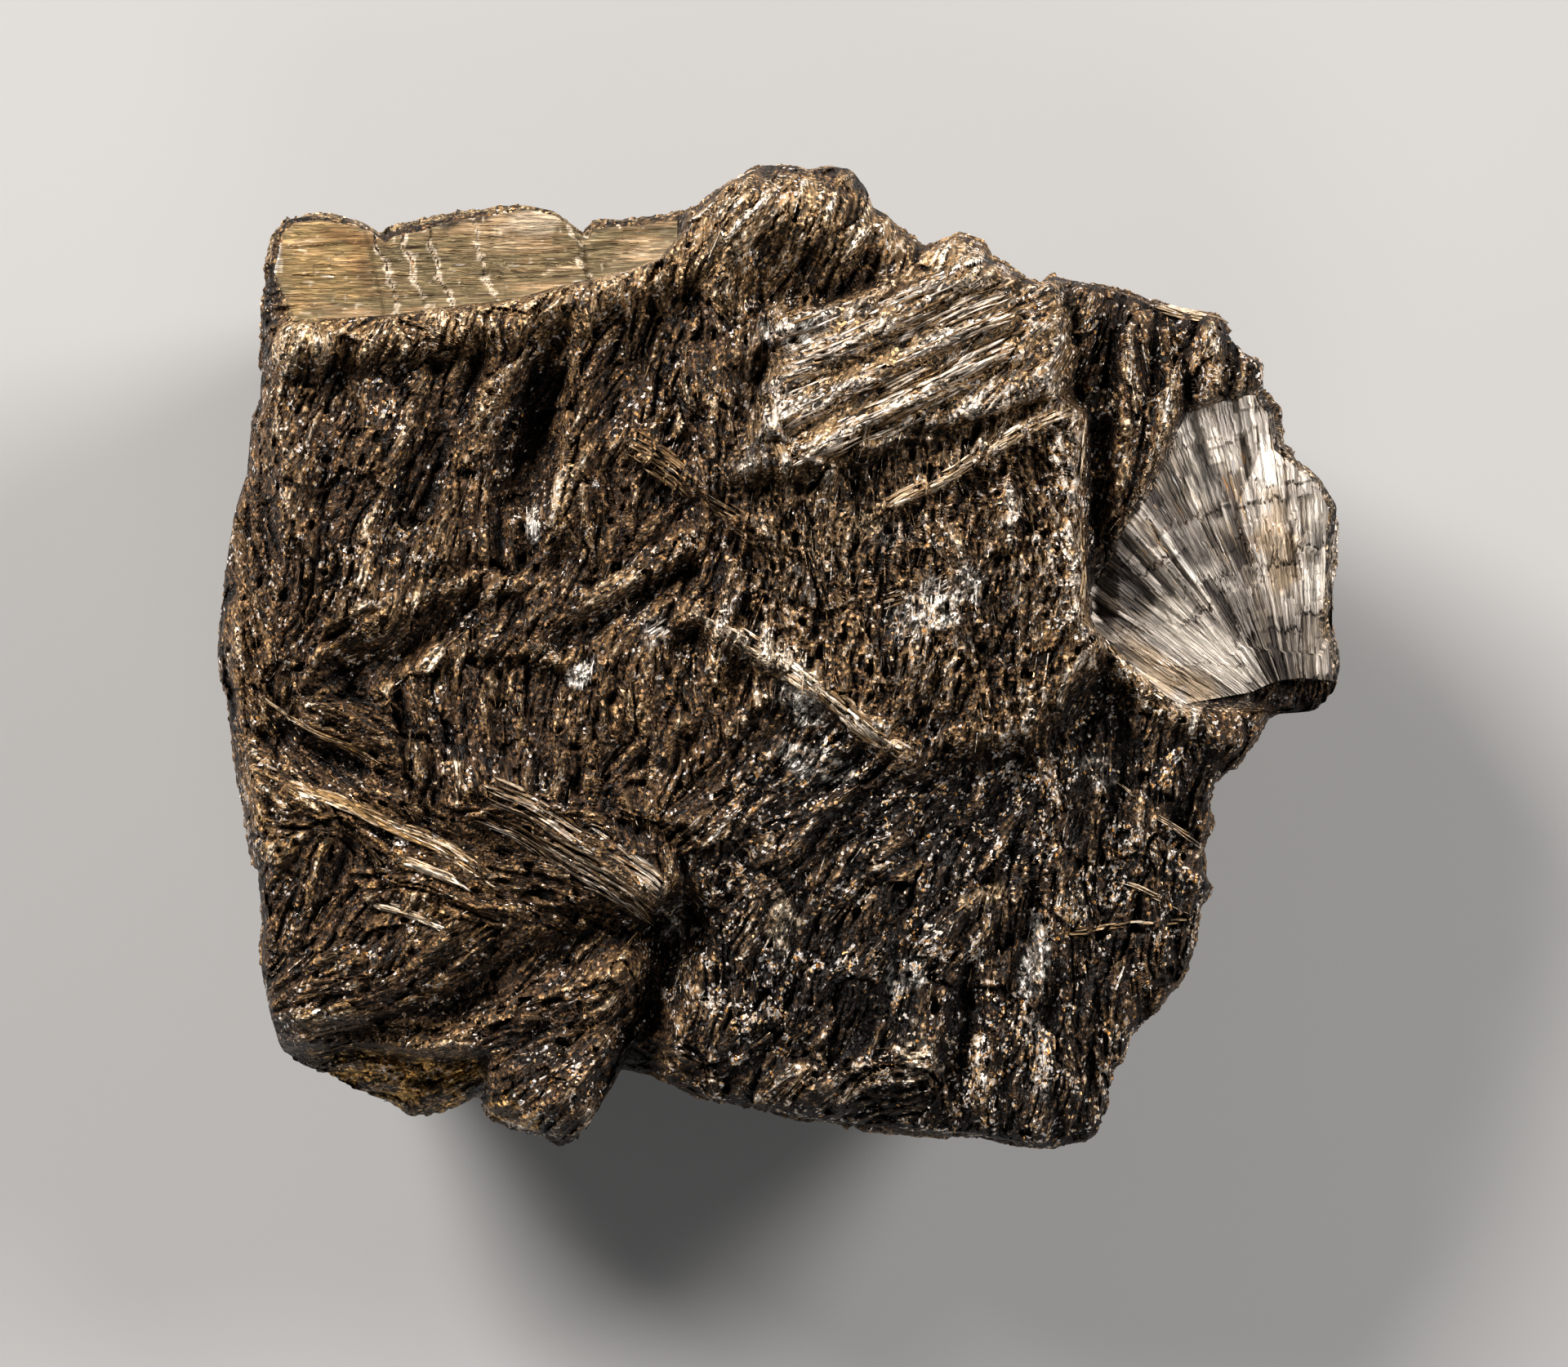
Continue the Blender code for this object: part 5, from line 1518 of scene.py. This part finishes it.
@dataclass
class LooseNeedles(Piece):
    """Slender needles that lie on the lamellae of the display face."""

    count: int = 3200
    seed: int = 201
    width: Place = (0.08, 0.20)
    length: Place = (0.8, 3.4)
    spread: float = math.radians(8)
    tilt: float = math.radians(5)
    inset: float = 1.2
    ends: Place = (0.1, 0.8)
    flatness: Place = (0.5, 1.0)
    paleness: Place = (0.56, 0.17)  # mean and spread of the share of each zone's tones
    finish: CrystalFinish = CrystalFinish("loose_needles")

    def build(self) -> Object:
        """Draws places on the crests, and lays a needle along the bundle at each."""
        rng = np.random.default_rng(self.seed)
        form, sheaves = self.form, FaceSheaves(self.form)
        reach = np.abs(np.array(OUTLINE)).max(0)
        x, y = (rng.uniform(-r, r, 9 * self.count) for r in reach)
        within = np.hypot(x, y) < form.radius(np.arctan2(y, x)) - self.inset
        bare = np.maximum(FAN.inside(x, y), SLAB.inside(x, y)) > 0.3
        x, y = x[within & ~bare], y[within & ~bare]
        fabric, number = sheaves.fabric(x, y)
        picked = np.flatnonzero(rng.random(len(x)) < 0.1 + 0.9 * fabric.crest)[: self.count]
        x, y, number = x[picked], y[picked], number[picked]
        count = len(x)
        angle = sheaves.angle[number] + rng.normal(0.0, self.spread, count)
        width = self.width[0] + (self.width[1] - self.width[0]) * rng.random(count) ** 1.8
        length = self.length[0] + (self.length[1] - self.length[0]) * rng.random(count) ** 1.6
        centre = form.face(x, y)
        centre[:, 2] += sheaves.rise(x, y) + 0.02
        reach_x, reach_y = np.cos(angle), np.sin(angle)
        ahead = form.height(x + reach_x, y + reach_y) - form.height(x - reach_x, y - reach_y)
        slope = ahead / 2.0 + np.tan(rng.normal(0.0, self.tilt, count))
        axis = np.column_stack([reach_x, reach_y, slope])
        up = np.column_stack([rng.uniform(-0.8, 0.8, count), rng.uniform(-0.8, 0.8, count), np.ones(count)])
        tone, glint = zone_tones(x, y, np.clip(rng.normal(*self.paleness, count), 0.0, 1.0))
        shine = np.where(rng.random(count) < 0.25 * glint, rng.uniform(0.6, 1.0, count), 0.2)
        ends = rng.uniform(*self.ends, (2, count))
        thickness = width * rng.uniform(*self.flatness, count)
        needles = Crystals(centre, axis, up, length, width, thickness, *ends, tone, shine)
        return self.dress(needles.build("loose_needles", form, rng))


@dataclass
class CleavageSheet(Piece):
    """A sheet of cleavage faces laid over the display face, its border sunk into it."""

    cover: float = 0.22
    sink: float = 1.6
    margin: float = 0.55
    reach: float = 32.0

    def furthest(self, region: Facet, x: Array, y: Array, way_x: Array, way_y: Array) -> Array:
        """How far a ray from each place goes before it leaves the region or comes near the rim."""
        far = np.linspace(0.0, self.reach, 300)
        px, py = x[:, None] + way_x[:, None] * far, y[:, None] + way_y[:, None] * far
        rim = self.form.radius(np.arctan2(py, px)) - np.hypot(px, py)
        within = depth_inside(px, py, region.outline) > -self.margin
        within = within & (rim > self.margin + self.form.rim_inset)
        return np.where(within, far, 0.0).max(axis=1)

    def laid(self, x: Array, y: Array, region: Facet, detail: Array) -> Array:
        """Points a little over the display face, sunk into it at the region's border."""
        shape = x.shape
        x, y = x.ravel(), y.ravel()
        rim = self.form.radius(np.arctan2(y, x)) - np.hypot(x, y) - self.form.rim_inset
        deep = np.minimum(depth_inside(x, y, region.outline) + self.margin, rim)
        sunk = self.sink * (1.0 - smooth(deep / (2.0 * self.margin)))
        points = self.form.face(x, y)
        points[:, 2] += self.cover + detail.ravel() - sunk
        return points.reshape(*shape, 3)


FAN_TONES = (GAP_SHADE, SLATE, SLATE, SAGE, SILVER, SILVER, PEARL, WHITE)
SMOOTH_PLANE = Patch((33.4, 1.4), (6.6, 3.4), -36, PEARL, 0.9)
FAN_STAINS = tuple(Patch(*row) for row in (
    ((34.4, 2.3), (5.4, 1.8), -36, PEARL, 0.8), ((32.4, -1.2), (4.8, 1.8), -36, TAN, 0.65),
    ((28.6, 7.2), (4.2, 2.2), -42, SLATE, 0.85), ((33.6, 10.6), (5, 1.7), -52, SLATE, 0.8),
    ((36, 15.6), (2.2, 3.4), 10, PEARL, 0.7), ((39, 12), (1, 5), 20, UMBER, 0.55),
    ((42, 9.2), (1.8, 4.6), 8, TAN, 0.6), ((43, 18.5), (1.6, 4), 0, SILVER, 0.7),
    ((46.2, 9.5), (1.8, 7.5), 0, PEARL, 0.7), ((38.4, 4.2), (1.6, 3.8), 40, SLATE, 0.6),
    ((43.6, 2), (0.9, 3), 5, SLATE, 0.6), ((46, 1.6), (1.6, 2), 0, SAGE, 0.5),
))


@dataclass
class Fan(CleavageSheet):
    """Silvery blades that spread from a short line, broken across in ragged arcs.

    The line holds shares of the rays, with where they start and their bearing in degrees.
    """

    line: tuple[tuple[float, float, float, float], ...] = (
        (0.0, 32.4, -4.3, 148.0), (0.30, 39.8, -3.0, 142.0), (0.46, 41.0, -2.4, 127.0),
        (0.66, 42.2, -2.0, 109.0), (0.8, 44.0, -1.8, 97.0), (1.0, 48.2, -2.2, 88.0))
    rays: int = 300
    rings: int = 110
    blades: tuple[int, ...] = (11, 42)
    piece_lengths: tuple[float, ...] = (5.6, 3.2)
    steps: tuple[float, ...] = (0.5, 0.2)
    cover: float = 0.6
    spread: Place = (11.0, 1.1)  # width of all the rays at the line, and its gain with distance
    seam: float = 0.18
    side: float = 0.12
    grain_width: float = 30.0
    finish: CrystalFinish = CrystalFinish(
        "fan_blades", threads=(0.12, 2.6), laths=(0.45, 8.5), wander=0.25, base_light=0.55,
        thread_light=0.55, facet_light=1.3, facet_power=2.0, most_glinting=0.25)

    def rays_out(self) -> tuple[Array, Array, Array, Array]:
        """Share of the rays, distance from the line, and place, on a grid of rays and rings."""
        shares, starts_x, starts_y, bearings = np.array(self.line).T
        ray = np.linspace(0.0, 1.0, self.rays + 1)
        start_x, start_y = np.interp(ray, shares, starts_x), np.interp(ray, shares, starts_y)
        angle = np.radians(np.interp(ray, shares, bearings))
        way_x, way_y = np.cos(angle), np.sin(angle)
        limit = np.maximum(self.furthest(FAN, start_x, start_y, way_x, way_y), 2.0)
        far = limit[:, None] * np.linspace(0.0, 1.0, self.rings + 1)[None]
        x, y = start_x[:, None] + far * way_x[:, None], start_y[:, None] + far * way_y[:, None]
        return np.broadcast_to(ray[:, None], far.shape), far, x, y

    def broken(self, ray: Array, far: Array) -> tuple[Array, Array, Array]:
        """Height, paleness and gaps of blades and of narrower ones on them, all broken into pieces."""
        detail = 0.07 * flat_noise(ray * 150.0, far / 6.0, 81)
        detail = detail + 0.05 * flat_noise(ray * 290.0, far / 2.5, 82)
        pale, gap = 0.0, 0.0
        ragged = 0.06 * flat_noise(ray * 130.0, far / 2.0, 90)
        ragged = ragged + 0.35 * flat_noise(ray * 5.0, 0.0 * far, 80)
        spread = self.spread[0] + self.spread[1] * far
        for level, (count, length, tall) in enumerate(zip(self.blades, self.piece_lengths, self.steps)):
            bent = ray * count + 0.7 * flat_noise(ray * count * 0.6, far / 7.0, 83 + level)
            blade = np.floor(bent)
            start = far / length + (0.3 + level) * lattice(blade, level, 0, 84) + ragged
            piece = np.floor(start)
            own = lattice(blade, level, 0, 86)
            chance = lattice(blade, piece, level, 85)
            detail = detail + tall * ((chance - 0.5) + 0.7 * (own - 0.5))
            pale = pale + (0.50 - 0.12 * level) * (chance - 0.5) + 0.25 * (own - 0.5)
            seam = 1.0 - smooth(np.minimum(start - piece, 1.0 - start + piece) * length / self.seam)
            side = 1.0 - smooth(np.minimum(bent - blade, 1.0 - bent + blade) * spread / count / self.side)
            parted = np.maximum(seam * (chance > 0.4), side * (own > 0.55))
            gap = np.maximum(gap, (0.9 - 0.6 * level) * parted)
        return detail, pale, gap

    def build(self) -> Object:
        """Makes the fan on its grid of rays."""
        ray, far, x, y = self.rays_out()
        detail, pale, gap = self.broken(ray, far)
        calm = SMOOTH_PLANE.weight(x, y)
        pale, gap = pale * (1.0 - 0.6 * calm), gap * (1.0 - 0.65 * calm)
        points = self.laid(x, y, FAN, detail * (1.0 - 0.55 * calm) - 0.25 * gap)
        streak, thin = flat_noise(ray * 170.0, far / 5.0, 87), flat_noise(ray * 330.0, far / 1.8, 88)
        cloud = flat_noise(x / 3.0, y / 3.0, 89)
        tone = 0.56 + pale + 0.08 * streak + 0.10 * thin + 0.20 * cloud - 0.45 * gap
        colour = ramp(np.clip(tone, 0.0, 1.0), FAN_TONES)
        colour = stained(colour, FAN_STAINS, x, y, 0.4 + 1.1 * tone, 0.45 + 0.55 * smooth(tone / 0.6))
        flocks = flocked(points, 0.3 + 0.5 * step(far, 8.0, 6.0))
        tints = tinted(np.clip(colour, 0.0, MOST_PALE), flocks)
        grain = np.stack([far, ray * self.grain_width], -1)
        return self.dress(Sheet(points, tints, Sheet.corners(grain)).build("fan_blades", self.form))


SLAB_TONES = (SOOT, UMBER, OLIVE, OLIVE, FAWN, TAN, FAWN, CREAM)
SLAB_STAINS = tuple(Patch(*row) for row in (
    ((-39, 33.5), (5, 4), 10, GOLD, 0.25), ((-36, 35.9), (3, 0.6), -10, RUST, 0.5),
    ((-35, 33), (1, 2.6), 20, RUST, 0.35), ((-43.2, 33), (0.9, 5.5), 0, WHITE, 0.9),
    ((-31, 32.5), (3.2, 2.8), 0, OLIVE, 0.6), ((-26, 33.5), (4, 3), 0, OLIVE, 0.45),
    ((-20, 37.6), (4, 1.2), 15, CREAM, 0.45), ((-27, 37.9), (6, 1.1), 9, SOOT, 0.9),
    ((-13, 37.2), (3, 0.8), 3, SOOT, 0.6), ((-12, 34.5), (3.6, 0.7), 10, TAN, 0.5),
))


@dataclass
class CleavageSlab(CleavageSheet):
    """Tan cleavage surface: thin laths side by side, cracked across."""

    columns: int = 230
    rows: int = 96
    margin: float = 0.35
    ends: Place = (-43.6, -8.6)
    middles: Place = (33.6, 37.0)
    reach: float = 7.5
    slant: float = 0.05
    cracks: tuple[float, ...] = (-33.4, -31.2, -29.0, -25.1, -16.6)
    crack_width: float = 0.14
    crack_slant: float = 0.3
    most_above: float = 1.3
    lath_width: float = 0.9
    piece_length: float = 6.0
    finish: CrystalFinish = CrystalFinish(
        "cleavage_slab", threads=(0.15, 3.0), laths=(0.9, 7.5), wander=0.1, base_light=0.6,
        thread_light=0.4, facet_light=0.9, facet_power=2.0, most_glinting=0.12)

    def build(self) -> Object:
        """Makes the slab on a grid of columns, each as tall as the slab is there."""
        x = np.linspace(*self.ends, self.columns + 1)
        start, flat = np.interp(x, self.ends, self.middles), np.zeros_like(x)
        up = self.furthest(SLAB, x, start, flat, flat + 1.0)
        down = self.furthest(SLAB, x, start, flat, flat - 1.0)
        share = np.linspace(0.0, 1.0, self.rows + 1)
        y = (start - down)[:, None] + (up + down)[:, None] * share[None]
        x = np.broadcast_to(x[:, None], y.shape)
        level = y - self.slant * (x - SLAB.middle[0])
        bent = level + 0.10 * flat_noise(x / 5.0, level / 2.0, 93)
        lath = np.floor(bent / self.lath_width)
        piece = np.floor(x / self.piece_length + 5.0 * lattice(lath, 0, 0, 94))
        fine, thread = flat_noise(x / 6.5, bent / 0.34, 91), flat_noise(x / 3.0, bent / 0.16, 92)
        along = x + self.crack_slant * (y - SLAB.middle[1]) + 0.5 * flat_noise(y / 1.3, x / 9.0, 95)
        past = along[..., None] - np.array(self.cracks)
        block, near = (past > 0.0).sum(-1), np.abs(past).min(-1)
        crack = 1.0 - step(near, 0.03, self.crack_width)
        detail = 0.07 * fine + 0.04 * thread + 0.16 * (lattice(lath, piece, 0, 96) - 0.5) - 0.2 * crack
        detail = detail + 0.3 * (lattice(block, 0, 0, 101) - 0.5)
        points = self.laid(x, y, SLAB, detail)
        points[..., 2] = np.minimum(points[..., 2], SLAB.plane(x, y) + self.most_above + detail)
        tone = 0.42 + 0.14 * fine + 0.16 * thread + 0.18 * flat_noise(x / 4.0, y / 1.6, 97)
        tone = tone + 0.14 * (lattice(lath, piece, 0, 98) - 0.5)
        tone = tone + 0.2 * (lattice(block, 0, 0, 100) - 0.5)
        colour = ramp(np.clip(tone, 0.0, 1.0), SLAB_TONES)
        colour = stained(colour, SLAB_STAINS, x, y, 0.6 + 0.8 * tone, 1.0) * (1.0 - 0.5 * crack)[..., None]
        crumbs = 0.8 * flat_noise(x / 0.5, y / 0.4, 99) + 1.1 * np.maximum(1.0 - near / 0.5, 0.0)
        colour = blend(colour, CREAM, (0.8 * step(crumbs, 0.55, 0.3))[..., None])
        tints = tinted(np.clip(colour, 0.0, MOST_PALE), flocked(points, 0.4 + 0.0 * x))
        grain = Sheet.corners(np.stack([x, y], -1))
        return self.dress(Sheet(points, tints, grain).build("cleavage_slab", self.form))


@dataclass(frozen=True)
class Sheaf:
    """Thin blades side by side along a line: half width, count, shares of the line, blade widths, tones."""

    line: list[Place]
    half_width: float
    count: int
    lengths: Place
    widths: Place
    tones: tuple[Tone, ...]
    lift: float


SHEAVES = tuple(Sheaf(*row) for row in (
    (CENTRAL_RIDGE, 0.8, 76, (0.04, 0.2), (0.06, 0.22),
     (BRONZE, FAWN, CREAM, CREAM, WHITE), 0.35),
    (LEFT_RIDGE, 1.2, 40, (0.08, 0.35), (0.06, 0.18),
     (UMBER, BRONZE, BRONZE, FAWN, TAN, CREAM), 0.06),
    ([(-44.1, -3.5), (-38.2, -6.6), (-32.4, -9.6)], 0.2, 14, (0.2, 0.7), (0.05, 0.14),
     (BRONZE, OCHRE, TAN, CREAM), 0.55),
    ([(-44.3, -8.9), (-37.3, -12.1), (-30.3, -15.2), (-22.2, -19.8)], 0.5, 60, (0.15, 0.5), (0.07, 0.2),
     (BRONZE, OCHRE, FAWN, TAN, CREAM, WHITE), 0.5),
    ([(-25.4, -11.8), (-17.7, -15.6), (-11.4, -19.6), (-8.9, -22.3)], 2.2, 90, (0.1, 0.42), (0.05, 0.17),
     (UMBER, BRONZE, SAGE, FAWN, SILVER, CREAM), 0.25),
    ([(-32, -17.1), (-25.4, -20)], 0.3, 14, (0.3, 0.8), (0.07, 0.18), (TAN, CREAM, WHITE), 0.8),
    ([(-34.3, -20.9), (-27.3, -23.2)], 0.3, 14, (0.3, 0.8), (0.07, 0.18), (TAN, CREAM, WHITE), 0.8),
    ([(8.9, 12.4), (15.9, 16.3), (24.3, 21)], 0.55, 80, (0.05, 0.2), (0.06, 0.2),
     (BRONZE, FAWN, TAN, CREAM, WHITE), 0.25),
    ([(25.3, 20.4), (25.1, 11.4), (25.3, 3)], 0.2, 24, (0.06, 0.2), (0.05, 0.12),
     (BRONZE, FAWN, TAN, CREAM), 0.05),
    ([(26.6, 1.9), (30.6, -2.4), (34.6, -5.4)], 0.8, 50, (0.05, 0.25), (0.06, 0.18),
     (BRONZE, FAWN, TAN, CREAM, WHITE), 0.3),
    ([(8, 4.4), (12.6, 5.6), (18.3, 9.4)], 0.8, 60, (0.06, 0.22), (0.05, 0.14),
     (UMBER, BRONZE, SAGE, SILVER, WHITE), 0.05),
    ([(-20.5, 9.9), (-20.3, 11.7)], 0.22, 8, (0.5, 0.9), (0.1, 0.2), (WHITE,), 0.4),
    ([(-17.3, -1.8), (-15.5, -1.1)], 0.5, 12, (0.3, 0.8), (0.12, 0.26), (CREAM, WHITE, WHITE), 0.4),
    ([(-10.9, 1.6), (-8.9, 2.9)], 0.6, 12, (0.3, 0.7), (0.08, 0.2), (SLATE, SILVER, WHITE), 0.2),
    ([(31.5, 29.8), (35, 28.8), (38.2, 28.2)], 0.5, 14, (0.2, 0.6), (0.08, 0.2), (FAWN, TAN, CREAM), 0.2),
    ([(28, -10.8), (32, -13.6), (36.4, -16.6)], 0.2, 5, (0.4, 0.8), (0.03, 0.07), (TAN, CREAM), 0.3),
    ([(27.6, -18.6), (35.4, -22.2)], 0.2, 5, (0.4, 0.8), (0.03, 0.07), (TAN, CREAM), 0.3),
    ([(21.6, -24), (27.6, -22.6), (34.4, -22.4)], 0.35, 16, (0.08, 0.2), (0.05, 0.12),
     (BRONZE, FAWN, TAN, WHITE), 0.12),
    ([(0, 16.5), (12, 21.6), (22, 26.7)], 1.8, 50, (0.06, 0.3), (0.06, 0.18),
     (UMBER, BRONZE, FAWN, SILVER, CREAM, WHITE), 0.2),
    ([(-1, 20), (11, 25.6), (21, 30.6)], 2.6, 80, (0.06, 0.3), (0.06, 0.18),
     (UMBER, BRONZE, FAWN, SILVER, CREAM, WHITE), 0.2),
    ([(-1, 25), (9, 28.6), (17, 32)], 2.2, 50, (0.08, 0.35), (0.06, 0.18),
     (BRONZE, FAWN, SILVER, WHITE), 0.2),
))


@dataclass
class RidgeBlades(Piece):
    """The pale diagonal blades that stand a little out of the brown mass, and the band's splinters."""

    lengthways: int = 20
    crossways: int = 4
    sink: float = 0.3
    ragged: float = 0.3
    taper: float = 0.18
    turn: float = 0.035
    rim: Place = (0.03, 0.06)  # what each blade's cell of the bake map leaves free, along and across
    seed: int = 303
    finish: CrystalFinish = CrystalFinish(
        "ridge_blades", threads=(0.2, 2.2), laths=(1.4, 6.5), wander=0.3, base_light=0.25, thread_light=0.8,
        facet_light=2.0, facet_power=3.0, most_glinting=0.3)

    def blades(self, rng: np.random.Generator, sheaf: Sheaf) -> tuple[Array, Array, Array]:
        """Places, lifts with tones, and millimetres along and across, of one sheaf's blades."""
        line = np.array(sheaf.line)
        edges = np.concatenate([[0.0], np.cumsum(np.hypot(*np.diff(line, axis=0).T))])
        whole = edges[-1]
        t, v = np.meshgrid(
            np.linspace(0.0, 1.0, self.lengthways + 1), np.linspace(-1.0, 1.0, self.crossways + 1),
            indexing="ij")
        spans = rng.uniform(*sheaf.lengths, sheaf.count)
        firsts = rng.uniform(0.0, 1.0, sheaf.count) * (1.0 - spans)
        offsets = sheaf.half_width * rng.uniform(-1.0, 1.0, sheaf.count)
        widths = rng.uniform(*sheaf.widths, sheaf.count)
        turns = rng.normal(0.0, self.turn, sheaf.count)
        places, looks, grains = [], [], []
        for n, (span, first, offset, width, turn) in enumerate(zip(spans, firsts, offsets, widths, turns)):
            along = (first + span * t) * whole
            x, y = (np.interp(along, edges, line[:, k]) for k in (0, 1))
            part = np.clip(np.searchsorted(edges, along) - 1, 0, len(line) - 2)
            way = unit(np.diff(line, axis=0))[part]
            taper = smooth(t / self.taper) * smooth((1.0 - t) / self.taper)
            key = 0.0 * t + 31.0 * n + 7.0 * sheaf.count
            ragged = 1.0 + self.ragged * noise(along / 0.7, np.sign(v), key, 61)
            off = offset + v * (width * (0.25 + 0.75 * taper) * ragged) + turn * (t - 0.5) * span * whole
            off = off + 0.12 * noise(along / 2.2, 0.0 * t, key, 62)
            off = off + 0.3 * noise(along / 4.5, 0.0 * t, 0.0 * t + whole, 65)
            x, y = x - way[..., 1] * off, y + way[..., 0] * off
            streak = noise(along / 3.0, v * width / 0.13, key, 63)
            lift = sheaf.lift * (0.4 + 0.8 * rng.random()) * (1.0 - 0.3 * v**2) * taper + 0.05 * streak
            lift = lift - self.sink * (step(np.abs(v), 0.7, 0.3) + 1.0 - taper) - 0.05
            tone = 0.15 + 0.7 * rng.random() + 0.22 * streak - 0.15 * v**2
            tone = tone + 0.10 * noise(along / 0.9, v, key, 64)
            places.append(np.stack([x, y, lift], -1))
            looks.append(ramp(np.clip(tone, 0.0, 1.0), sheaf.tones))
            grains.append(np.stack([along + 13.0 * n, v * width + 3.0 * n], -1))
        return np.stack(places), np.stack(looks), np.stack(grains)

    def build(self) -> Object:
        """Makes all the blades as one joined mesh, each a grid with a row of the bake map to itself."""
        rng = np.random.default_rng(self.seed)
        places, looks, grains = (
            np.concatenate(parts) for parts in zip(*(self.blades(rng, sheaf) for sheaf in SHEAVES)))
        points = self.form.face(places[..., 0].ravel(), places[..., 1].ravel())
        points[:, 2] += places[..., 2].ravel()
        tints = tinted(looks.reshape(-1, 3), flocked(points, np.full(len(points), 0.8)))
        number = np.arange(len(points)).reshape(places.shape[:3])
        count = len(places)
        columns = math.ceil(math.sqrt(count / 4.0))
        order = np.arange(count)
        cell = np.stack([order % columns, order // columns], -1)[:, None, None]
        ways = (
            np.linspace(rim, 1.0 - rim, steps + 1)
            for rim, steps in zip(self.rim, (self.lengthways, self.crossways)))
        within = np.stack(np.meshgrid(*ways, indexing="ij"), axis=-1)
        square = (cell + within[None]) / np.array([columns, math.ceil(count / columns)])
        faces, bake, grain = (
            np.concatenate([Sheet.corners(part) for part in whole]) for whole in (number, square, grains))
        maps = {BAKE_MAP: bake.reshape(-1, 2), GRAIN_MAP: grain.reshape(-1, 2)}
        faces = faces.reshape(-1, 4).tolist()
        return self.dress(make_mesh("ridge_blades", self.form.fitted(points), faces, tints, maps))


# ---- studio


class LightName(Enum):
    """The studio's soft lights."""

    KEY = "key"
    RIM = "rim"
    FILL = "fill"


@dataclass(frozen=True)
class SoftLight:
    """A square soft light that faces the specimen: place in metres, side, power and colour."""

    place: Tone
    side: float
    power: float
    tone: Tone


@dataclass
class Studio:
    """Pale floor, soft lights and a camera straight above the display face."""

    aim: Tone = (0.00046, -0.0024, 0.028)
    distance: float = 0.62
    view_width: float = 0.1344  # metres across the frame at the height of the aim
    sensor: float = 36.0
    floor_side: float = 3.0
    lit: Tone = (0.0, 0.0, 0.02)  # where the lights point
    lights: dict[LightName, SoftLight] = field(default_factory=lambda: {
        LightName.KEY: SoftLight((-0.95, 1.02, 0.85), 0.60, 62.0, (1.0, 0.965, 0.94)),
        LightName.RIM: SoftLight((1.15, 0.70, 0.77), 0.55, 31.0, (1.0, 0.97, 0.95)),
        LightName.FILL: SoftLight((0.05, -0.80, 0.80), 0.6, 2.6, (0.97, 0.98, 1.0)),
    })
    sky: float = 0.06

    def turned_to(self, thing: Object, target: Tone) -> None:
        """Turns a light so that its -Z axis points at a target."""
        away = np.array(thing.location) - np.array(target)
        level = math.hypot(away[0], away[1])
        thing.rotation_euler = (math.atan2(level, away[2]), 0.0, math.atan2(away[0], -away[1]))

    def build(self) -> None:
        """Makes the floor, the lights, the sky and the camera."""
        side = self.floor_side / 2.0
        mesh = bpy.data.meshes.new("floor")
        corners = [(-side, -side, 0.0), (side, -side, 0.0), (side, side, 0.0), (-side, side, 0.0)]
        mesh.from_pydata(corners, [], [(0, 1, 2, 3)])
        mesh.materials.append(FloorFinish().material())
        floor = placed("floor", mesh)
        for name, light in self.lights.items():
            data = bpy.data.lights.new(name.value, "AREA")
            data.size, data.energy, data.color = light.side, light.power, light.tone
            lamp = placed(name.value, data)
            lamp.location = light.place
            self.turned_to(lamp, self.lit)
        world = bpy.data.worlds.new("studio_air")
        world.use_nodes = True
        air = world.node_tree.nodes["Background"].inputs
        air["Color"].default_value, air["Strength"].default_value = (1.0, 1.0, 1.0, 1.0), self.sky
        bpy.context.scene.world = world
        data = bpy.data.cameras.new("camera")
        data.sensor_width = self.sensor
        data.lens = self.sensor * self.distance / self.view_width
        camera = placed("camera", data)
        camera.location = (self.aim[0], self.aim[1], self.aim[2] + self.distance)
        bpy.context.scene.camera = camera
        bpy.context.scene.view_settings.view_transform = "Standard"
        log.info("studio: %d lights", len(self.lights))


# ---- everything


def main() -> None:
    """Loads the frame and builds the specimen's pieces in order, then the studio."""
    logging.basicConfig(level=logging.INFO, format="%(name)s %(message)s", stream=sys.stdout)
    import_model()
    form = SpecimenForm()
    DisplayFace(form).build()
    Walls(form).build()
    LooseNeedles(form).build()
    Fan(form).build()
    CleavageSlab(form).build()
    RidgeBlades(form).build()
    Studio().build()


if __name__ == "__main__":
    main()
